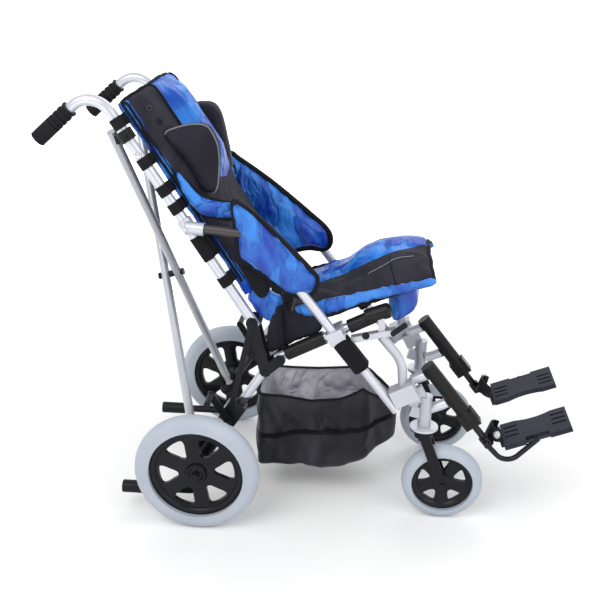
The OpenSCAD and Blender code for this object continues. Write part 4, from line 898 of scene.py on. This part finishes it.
def makeEyelets(cushion):
    # Belt openings in both borders: a metal eyelet high up and a moulded one below it, square to the cushion's
    # slope and turned outwards a little
    made = []
    ring = [(0.0066, -0.0006), (0.0078, 0.0008), (0.0066, 0.0022), (0.0048, 0.0022), (0.0040, 0.0008),
            (0.0044, -0.0006)]
    for side, sign in sides.items():
        for k, (s, y) in enumerate(backSet["eyelets"]):
            spot, *ends = lay(cushion, onBack([s, s + 6, s - 6], [90] * 3, [sign * y] * 3), 0.0006)
            low, high = sorted(end.tolist() for end in ends)
            normal = (Vector(high) - Vector(low)).cross(Vector((0, 1, 0))).normalized()
            if normal.x < 0:
                normal = -normal
            normal = (normal + Vector((0, sign * 0.75, 0))).normalized()
            material = look["mouldedBlack" if k else "darkTube"]
            made.append(lathe(f"{side}Eyelet{k}", ring + ring[:1], spot, normal, material, 40))
    return made


# gussets that join the back's side walls to the wings
gussetSet = {"right": [(-46, 862), (-28, 812), (2, 774), (32, 762), (86, 758), (88, 792), (56, 800), (12, 815)],
             "left": [(-50, 850), (-26, 800), (2, 772), (34, 770), (30, 800), (12, 812), (-10, 838)],
             "y": 172, "across": (9, -7), "rim": 6, "puff": (0.005, 3.0, 0.004, 0.0016, 110, 5)}


def makeGusset(side):
    b, y = gussetSet, sides[side] * gussetSet["y"]
    across = [y + sides[side] * off for off in b["across"]]
    sidePad(f"{side}Gusset", b[side], across, b["rim"], "blueNylon", b["puff"], f"{side}_frame")
    edgeBinding(f"{side}GussetBinding", b[side], 90, y, roundProfile(0.0034, 8), f"{side}_frame")


# wings: sleeves over the arm tubes, bound in black tape of the given section in metres
wingSet = {"right": [(90, 800), (106, 797), (155, 757), (216, 698), (270, 641), (277, 626), (272, 604), (258, 589),
                     (239, 588), (194, 607), (154, 640), (114, 666), (101, 680), (95, 746)],
           "left": [(14, 828), (41, 815), (133, 751), (233, 669), (270, 636), (284, 612), (282, 588), (264, 577),
                    (227, 579), (193, 572), (160, 566), (120, 592), (79, 640), (39, 690), (4, 726), (-12, 772)],
           "across": (219, 169), "rim": 9, "full": 6.0, "puff": (0.0055, 3.5, 0.003, 0.0022, 75),
           "seed": {"right": 11, "left": 12},
           "tape": [(-0.0058, -0.0068), (0.0052, -0.0072), (0.0072, -0.004), (0.0072, 0.004), (0.0052, 0.0072),
                    (-0.0058, 0.0068)]}


def makeWing(side):
    b, sign, body = wingSet, sides[side], f"{side}_frame"
    sidePad(f"{side}Wing", b[side], [sign * y for y in b["across"]], b["rim"], "blueNylon",
            (*b["puff"], b["seed"][side]), body, f"{side}_wing", full=b["full"])
    tape = smoothPath(b["tape"], 14, True)
    edgeBinding(f"{side}WingBinding", b[side], 160, sign * sum(b["across"]) / 2, tape, body)


# head pads: charcoal wedges with a pale cord along the top and front of the outer face
headSet = {"right": [(573, 80), (575, 104), (561, 140), (544, 162), (528, 168), (500, 165), (478, 158), (440, 134),
                     (412, 112), (406, 98), (430, 84), (500, 84)],
           "left": [(596, 74), (592, 106), (572, 143), (550, 152), (500, 138), (440, 112), (408, 95), (412, 80),
                    (450, 68), (530, 66)],
           "outer": 156, "inner": 106, "rim": 34, "full": 5.0, "lean": 0.24, "base": 72, "cordIn": 11,
           "cordShare": 0.62, "puff": (0.005, 3.0, 0.004, 0.0006, 60, 21)}


def onPad(s, n, y):  # the pads lean inwards as they stand off the back
    y = np.asarray(y, float)
    return onBack(s, n, y - np.sign(y) * headSet["lean"] * np.clip(np.asarray(n, float) - headSet["base"], 0, None))


def makeHeadPad(side):
    b, sign = headSet, sides[side]
    obj = outlinePad(f"{side}HeadPad", b[side], onPad, sign * b["outer"], sign * b["inner"], b["rim"],
                     look["charcoalCloth"], b["full"])
    finishPad(obj, b["puff"], inSide(backDir), inSide(backOut), f"{side}_frame", f"{side}_head_pad")
    o = smoothPath(b[side], 120, True)
    c = o.mean(0)
    line = onPad(*(c + (o - c) * 1.02).T, np.full(len(o), sign * (b["outer"] - b["cordIn"])))
    ring = evenOut(lay(obj, line, 0.0008), 2)
    cord = ring[:int(len(ring) * b["cordShare"])]
    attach(sweep(f"{side}HeadPiping", cord, roundProfile(0.0019, 8), look["greyPiping"]), f"{side}_frame")


# seat cushion: blue domed middle, charcoal sloping borders, bound front end. The curves are values at
# distances from the seat's rear foot: the panel's half width, and heights of middle, seam, edge and underside
seatSet = {"foot": (219, 485), "tilt": 21.1, "length": 361, "half": 170, "rear": 4, "skew": 0.06, "waist": 0.02,
           "rimShare": 0.03, "endRound": 7, "puff": (0.0064, 3.0, 0.005, 0.0015, 70, 31),
           "panel": ([0, 150, 171, 200, 236, 283, 324, 345, 359], [44, 46, 61, 75, 80, 76, 57, 42, 34]),
           "middle": ([0, 120, 150, 171, 189, 203, 236, 275, 310, 330, 345, 359],
                      [53, 53, 57, 70, 83, 88, 93, 89, 79, 71, 64, 57]),
           "seam": ([0, 92, 150, 171, 200, 236, 283, 324, 345, 359], [48, 48, 51, 56, 63, 69, 73, 65, 59, 54]),
           "edge": ([0, 94, 200, 300, 359], [34, 33, 26, 17, 9]), "under": ([0, 120, 359], [6, 2, 1]),
           "roll": [(26, 36, -12), (52, 32, -2), (90, 27, 4), (150, 23, 5), (210, 21, 5), (280, 13, 4),
                    (335, 6, 1), (360, 3, -5)],
           "rollSwell": ([0, 0.08, 0.2, 0.5, 0.8, 0.96, 1], [0.35, 0.85, 1.05, 0.8, 0.62, 0.62, 0.35]),
           "rollSeed": {"right": 41, "left": 42}, "seamAt": 268.0, "seamTo": 84, "zip": ((212, 116), (322, 92))}
seatDir, seatOut = heading(seatSet["tilt"]), heading(seatSet["tilt"] + 90)
seatPlane = seatSet["foot"], seatDir, seatOut


def onSeat(s, n, y):  # millimetres forward along the seat from its rear foot, up from its bottom, and across
    return onPlane(*seatPlane, s, n, y)


def blueHalf(s, y):  # half width of the blue middle, which on the left reaches the edge behind the dome
    spread = 70 * softStep(np.asarray(y, float) / 30) * softStep((196 - np.asarray(s, float)) / 30)
    return np.interp(s, *seatSet["panel"]) + spread


def seatTop(s, y):
    # Height of the top: middle - (middle - seam) * (y / panel)^2 inside the seam, then down to the edge, with a
    # slight skew
    middle, seam, edge = (np.interp(s, *seatSet[key]) for key in ("middle", "seam", "edge"))
    b = blueHalf(s, y)
    inside = middle - (middle - seam) * np.minimum(np.abs(y) / b, 1)**2
    out = np.clip((np.abs(y) - b) / (seatSet["half"] - b), 0, 1)
    return inside + (edge - seam) * out**1.25 - seatSet["skew"] * y


def seatTone(obj):
    # Positive on the blue middle, down to the cushion's foot
    s, n, y = planeCoords(*seatPlane, obj)
    return np.minimum(blueHalf(s, y) - np.abs(y), n - 16)


def makeSeat():
    b = seatSet
    s, v = np.meshgrid(np.linspace(b["rear"], b["length"], 58), np.linspace(-1, 1, 50), indexing="ij")
    u = (s - b["rear"]) / (b["length"] - b["rear"])
    y = v * (b["half"] * (1 - b["waist"] * np.sin(math.pi * u)))
    rim = np.clip((1 - np.abs(v)) / b["rimShare"], 0, 1)
    end = np.clip(np.minimum(s - b["rear"], b["length"] - s) / b["endRound"], 0, 1)
    ease = 1 - np.sqrt(1 - (1 - np.minimum(rim, end))**2)
    top, low = onSeat(s, seatTop(s, y) - 5 * ease, y), onSeat(s, np.interp(s, *b["under"]) + 3 * ease, y)
    obj = slabPad("seatCushion", top, low, look["coverTwoTone"])
    return finishPad(obj, b["puff"], (0, 1, 0), inSide(seatDir), "right_frame", "seat_cushion", tone=seatTone)


def makeSeatTrim(cushion):
    # Bound front end, border seams and zip lines, and the puffy roll along each foot
    b, half = seatSet, seatSet["half"]
    y = np.linspace(-half, half, 70)
    front = onSeat(np.full(70, b["length"] - 1.0), seatTop(b["length"], y) - 2, y)
    made = [laidTrim("seatFrontBinding", cushion, front, 0.0012, roundProfile(0.0042, 8, 0.8), (0, 0.3, 1))]
    for side, sign in sides.items():
        low = smoothPath([(s, n, half + y) for s, n, y in b["roll"]], 110)
        path = onSeat(low[:, 0], low[:, 1] - b["skew"] * sign * half, sign * low[:, 2])
        swell = np.interp(np.linspace(0, 1, 110), *b["rollSwell"])
        roll = sweep(f"{side}SeatRoll", path, roundProfile(0.0165, 22, 0.72), look["blueNylon"], scale=swell)
        bump = coordsOf(roll)
        setCoords(roll, bump + normalsOf(roll) * (0.0022 * ripples(bump, 95, b["rollSeed"][side]))[:, None])
        weaveUv(roll, inSide(seatDir), (0, 1, 0.5))
        refine(roll)
        seamY = sign * np.linspace(half, b["seamTo"], 26)
        seam = onSeat(np.full(26, b["seamAt"]), seatTop(b["seamAt"], seamY), seamY)
        zipS, zipY = np.linspace(*b["zip"], 50).T
        line = onSeat(zipS, seatTop(zipS, sign * zipY), sign * zipY)
        made += [roll, laidTrim(f"{side}SeatSeam", cushion, seam, 0.0003, bandProfile(0.003, 0.0016), rounds=0),
                 laidTrim(f"{side}SeatZip", cushion, line, 0.0006, bandProfile(0.0032, 0.002), (0, 0.2, 1), 2,
                          "greyPiping")]
    return made


# soft pieces under the seat: the roll across its front, and on each side an outline in (x, z), the distances
# across, the rim, the cloth, the puff and the padding's fill
underSet = {"front": [(448, 588), (498, 606), (510, 574), (505, 540), (480, 518), (458, 508), (451, 524), (450, 556)],
            "frontHalf": 148, "frontPuff": (0.0065, 3.0, 0.005, 0.002, 70, 51),
            "strap": [(194, 168, 548), (196, 173, 536), (199, 174, 500), (200, 171, 446)]}
flapSet = {
    "ElbowFlap": ([(104, 650), (134, 642), (160, 622), (170, 594), (154, 566), (134, 574), (118, 600), (104, 628)],
                  (176, 170), 3, "blackWebbing", (0.0045, 1.0, 0.0015, 0.0012, 90, 67), 0.6),
    "Sling": ([(176, 560), (214, 536), (292, 545), (288, 486), (240, 462), (190, 434), (158, 430), (160, 500)],
              (167, 158), 3, "charcoalCloth", (0.0045, 2.0, 0.002, 0.0016, 90, 61), 0.4),
    "BackFoot": ([(112, 572), (140, 592), (192, 566), (186, 532), (168, 506), (140, 524), (120, 548)],
                 (170, 140), 10, "blueNylon", (0.005, 3.0, 0.004, 0.0022, 100, 62), 0.4)}


def makeUnder():
    b = underSet
    o = smoothPath(b["front"], 60, True)
    c = o.mean(0)
    v = np.linspace(-1, 1, 40)[:, None]
    draw = 1 - 0.5 * np.clip((np.abs(v) - 0.9) / 0.1, 0, 1)**2
    grid = place(c[0] + (o[:, 0] - c[0]) * draw, v * b["frontHalf"], c[1] + (o[:, 1] - c[1]) * draw)
    roll = outward(makeMesh("seatFrontRoll", grid.reshape(-1, 3), cappedFaces(40, 60), look["blueNylon"]))
    foldWith(finishPad(roll, b["frontPuff"], (0, 1, 0), (0, 0, 1), "right_frame"))
    for side, sign in sides.items():
        for name, (outline, across, rim, colour, puff, fill) in flapSet.items():
            sidePad(side + name, outline, [sign * y for y in across], rim, colour, puff, f"{side}_frame", pad=fill)
        strap = smoothPath([(x, sign * y, z) for x, y, z in b["strap"]], 30)
        band = bandProfile(0.034, 0.0022)
        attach(sweep(f"{side}SeatStrap", place(*strap.T), band, look["blackWebbing"], (1, 0, 0)), f"{side}_frame")


# basket: one bag from a closed rim, with hem, pale liner and black wrinkled sides. The curves are heights at
# distances from the rear axle; the fans of folds are (x, z, folds) in metres
bagSet = {"rearX": 124, "frontX": 474, "half": 108, "noseHalf": 36, "fullX": 383,
          "near": ([124, 190, 262, 334, 372, 392, 430, 474], [284, 282, 271, 282, 300, 312, 268, 224]),
          "far": ([124, 190, 262, 334, 392, 430, 474], [262, 260, 262, 266, 272, 262, 232]),
          "floor": ([124, 200, 233, 287, 380, 474], [74, 80, 82, 67, 100, 136]), "belly": 7,
          "fans": [(0.140, 0.285, 7.0), (0.388, 0.300, 8.0), (0.262, 0.262, 9.0)], "thick": 0.0016}


def bagPlan(count):
    # Closed plan loop of the rim: rear corners round, sides straight, then drawn in to the nose
    b = bagSet
    near = [(b["rearX"], -60), (b["rearX"] + 2, -b["half"] + 18), (b["rearX"] + 22, -b["half"]),
            (260, -b["half"] + 2), (b["fullX"], -b["half"]), (428, -62), (b["frontX"] - 6, -b["noseHalf"] + 4),
            (b["frontX"], -b["noseHalf"] + 22)]
    return smoothPath(near + [(x, -y) for x, y in near[::-1]], count, True)


def bagBand(bag):
    # Positive on the inner skin near the rim, where the pale liner shows
    points, normals = coordsOf(bag), normalsOf(bag)
    centre = np.array([rearAxleX + 0.3, 0])
    inner = -np.einsum("ij,ij->i", normals[:, :2], points[:, :2] - centre)
    return np.where(inner > 0, np.clip(points[:, 2] - 0.150, -0.05, 0.05), -0.03)


def makeBasket():
    # Rows run down the walls and over the floor to its middle line; folds hang in fans from the rim's corners
    b, rows, cols = bagSet, 34, 128
    x, y = bagPlan(cols).T
    far = np.interp(x, *b["far"])
    rim = far + (np.interp(x, *b["near"]) - far) * softStep((40 - y) / 80)
    v = np.linspace(0, 1, rows)[:, None]
    wall = np.clip(v / 0.62, 0, 1)
    turn = softStep((v - 0.5) / 0.16)
    inwards = np.clip((v - 0.58) / 0.42, 0, 1)
    px = x + (np.clip(x, 200, 430) - x) * inwards + (x - 300) * 0.02 * np.sin(math.pi * wall)
    py = y * (1 - inwards) + np.sign(y) * np.minimum(b["belly"] * np.sin(math.pi * wall), 2)
    drop = rim + (np.interp(x, *b["floor"]) + 5 - rim) * wall**0.94
    pz = drop * (1 - turn) + (np.interp(px, *b["floor"]) + 4 * (1 - turn)) * turn
    faces = gridFaces(rows, cols, False, True)
    bag = outward(makeMesh("basketBag", place(px, py, pz).reshape(-1, 3), faces, look["bagCloth"]), 0.0006)
    points = coordsOf(bag)
    depth = np.clip((0.262 - points[:, 2]) / 0.03, 0, 1)
    narrow = 1 - 0.7 * softStep((points[:, 0] - rearAxleX - 0.38) / 0.05)
    fans = np.zeros(len(points))
    for fanX, fanZ, folds in b["fans"]:
        dx, dz = points[:, 0] - rearAxleX - fanX, fanZ - points[:, 2]
        fans += (1 - 2 * np.abs(np.sin(np.arctan2(dx, dz) * folds))) * np.clip(1 - np.hypot(dx, dz) / 0.2, 0, 1)
    swell = 0.0050 * ripples(points, 46, 71) + 0.0018 * ripples(points, 120, 72) + 0.0045 * fans
    setCoords(bag, points + normalsOf(bag) * (swell * depth * narrow)[:, None])
    solid = bag.modifiers.new("cloth", "SOLIDIFY")
    solid.thickness, solid.offset = b["thick"], -1
    applyModifiers(bag)
    toneBand(bag, bagBand(bag))
    weaveUv(bag, (1, 0.3, 0), (0, 0.3, 1))
    refine(bag)
    softSeat(bag, "right_frame", "basket_tub", "right_basket_side", "left_basket_side", pad=None)
    hem = sweep("basketHem", place(x, y, rim + 1), bandProfile(0.011, 0.0034), look["blackBinding"], (0, 0, 1), True)
    line = evenOut(lay(bag, place(x, y * 1.12, 168 + (x - 124) * 0.11), 0.0006), 3)
    seam = sweep("basketSeam", line, bandProfile(0.0022, 0.009), look["blackBinding"], (0, 0, 1), True)
    return bag, hem, seam


# make the wheels and small hard pieces
for side in sides:
    for kind in wheelSet:
        makeWheel(side, kind)
    makeKnobs(side)
    makeSleeves(side)
    makeHeel(side)
print("stage: wheels, knobs and sleeves")

# make and hang the soft pieces
backCushion = makeBack()
rideAndFold(makeBackTrim(backCushion) + makeEyelets(backCushion))
foldWith(backCushion)
print("stage: back")
seatCushion = makeSeat()
rideAndFold(makeSeatTrim(seatCushion))
foldWith(seatCushion)
makeUnder()
print("stage: seat")
for side in sides:
    makeGusset(side)
    makeWing(side)
    makeHeadPad(side)
print("stage: wings and head pads")
basketBag, *basketTrim = makeBasket()
foldWith(basketBag)
rideAndFold(basketTrim)
print("stage: basket")

# floor, world and lamps: the floor and sky are plain white to the eye, and only the floor's shadow shows
floorSet = {"size": 15, "colour": 0.86, "shown": 1.0, "sky": 0.8, "clear": 0.9, "fade": 1.6}


def raysSeen(tree, *kinds):
    # 1 on the given kinds of ray, else 0
    path = addNode(tree, "LightPath").outputs
    seen = path[f"Is {kinds[0]} Ray"]
    for kind in kinds[1:]:
        seen = mathNode(tree, "MAXIMUM", seen, path[f"Is {kind} Ray"])
    return seen


def whiteToEye(tree, plain, socket):
    # Camera, glossy and transmission rays get the shown value, the rest the plain one
    seen = raysSeen(tree, "Camera", "Glossy", "Transmission")
    feed(tree, socket, mixColour(tree, seen, (plain,) * 3, (floorSet["shown"],) * 3))


floorWhite, tree, shader, coord = startMaterial("floorWhite", 0.95, specular=0.0)
reach = floorSet["size"]
corners = [(-reach, -reach, 0), (reach, -reach, 0), (reach, reach, 0), (-reach, reach, 0)]
floor = makeMesh("floor", corners, [(0, 1, 2, 3)], floorWhite)
whiteToEye(tree, floorSet["colour"], shader["Base Color"])
far = addNode(tree, "VectorMath", {0: coord["Object"]}, operation="LENGTH").outputs["Value"]
fade = scaled(tree, far, 1 / floorSet["fade"], -floorSet["clear"] / floorSet["fade"], True)
glow = scaled(tree, fade, raysSeen(tree, "Camera", "Glossy"))
feed(tree, shader["Emission Color"], mixColour(tree, glow, (0, 0, 0), (1, 1, 1)))
shader["Emission Strength"].default_value = 1.0
world = bpy.data.worlds.new("studio")
bpy.context.scene.world = world
world.use_nodes = True
whiteToEye(world.node_tree, floorSet["sky"], world.node_tree.nodes["Background"].inputs["Color"])
lampSet = {"key": ((-1.6, -2.6, 3.4), 60, 2.6), "fill": ((2.6, -2.0, 2.2), 26, 2.4), "rim": ((0.6, 2.8, 3.0), 30, 2.2)}
for lampName, (spot, power, size) in lampSet.items():
    lamp = newObject(lampName, bpy.data.lights.new(lampName, "AREA"))
    lamp.data.energy, lamp.data.size, lamp.location = power, size, spot
    lamp.rotation_euler = (Vector((0, 0, 0.5)) - Vector(spot)).to_track_quat("-Z", "Y").to_euler()
bpy.context.scene.view_settings.view_transform = "Standard"
print("stage: studio")
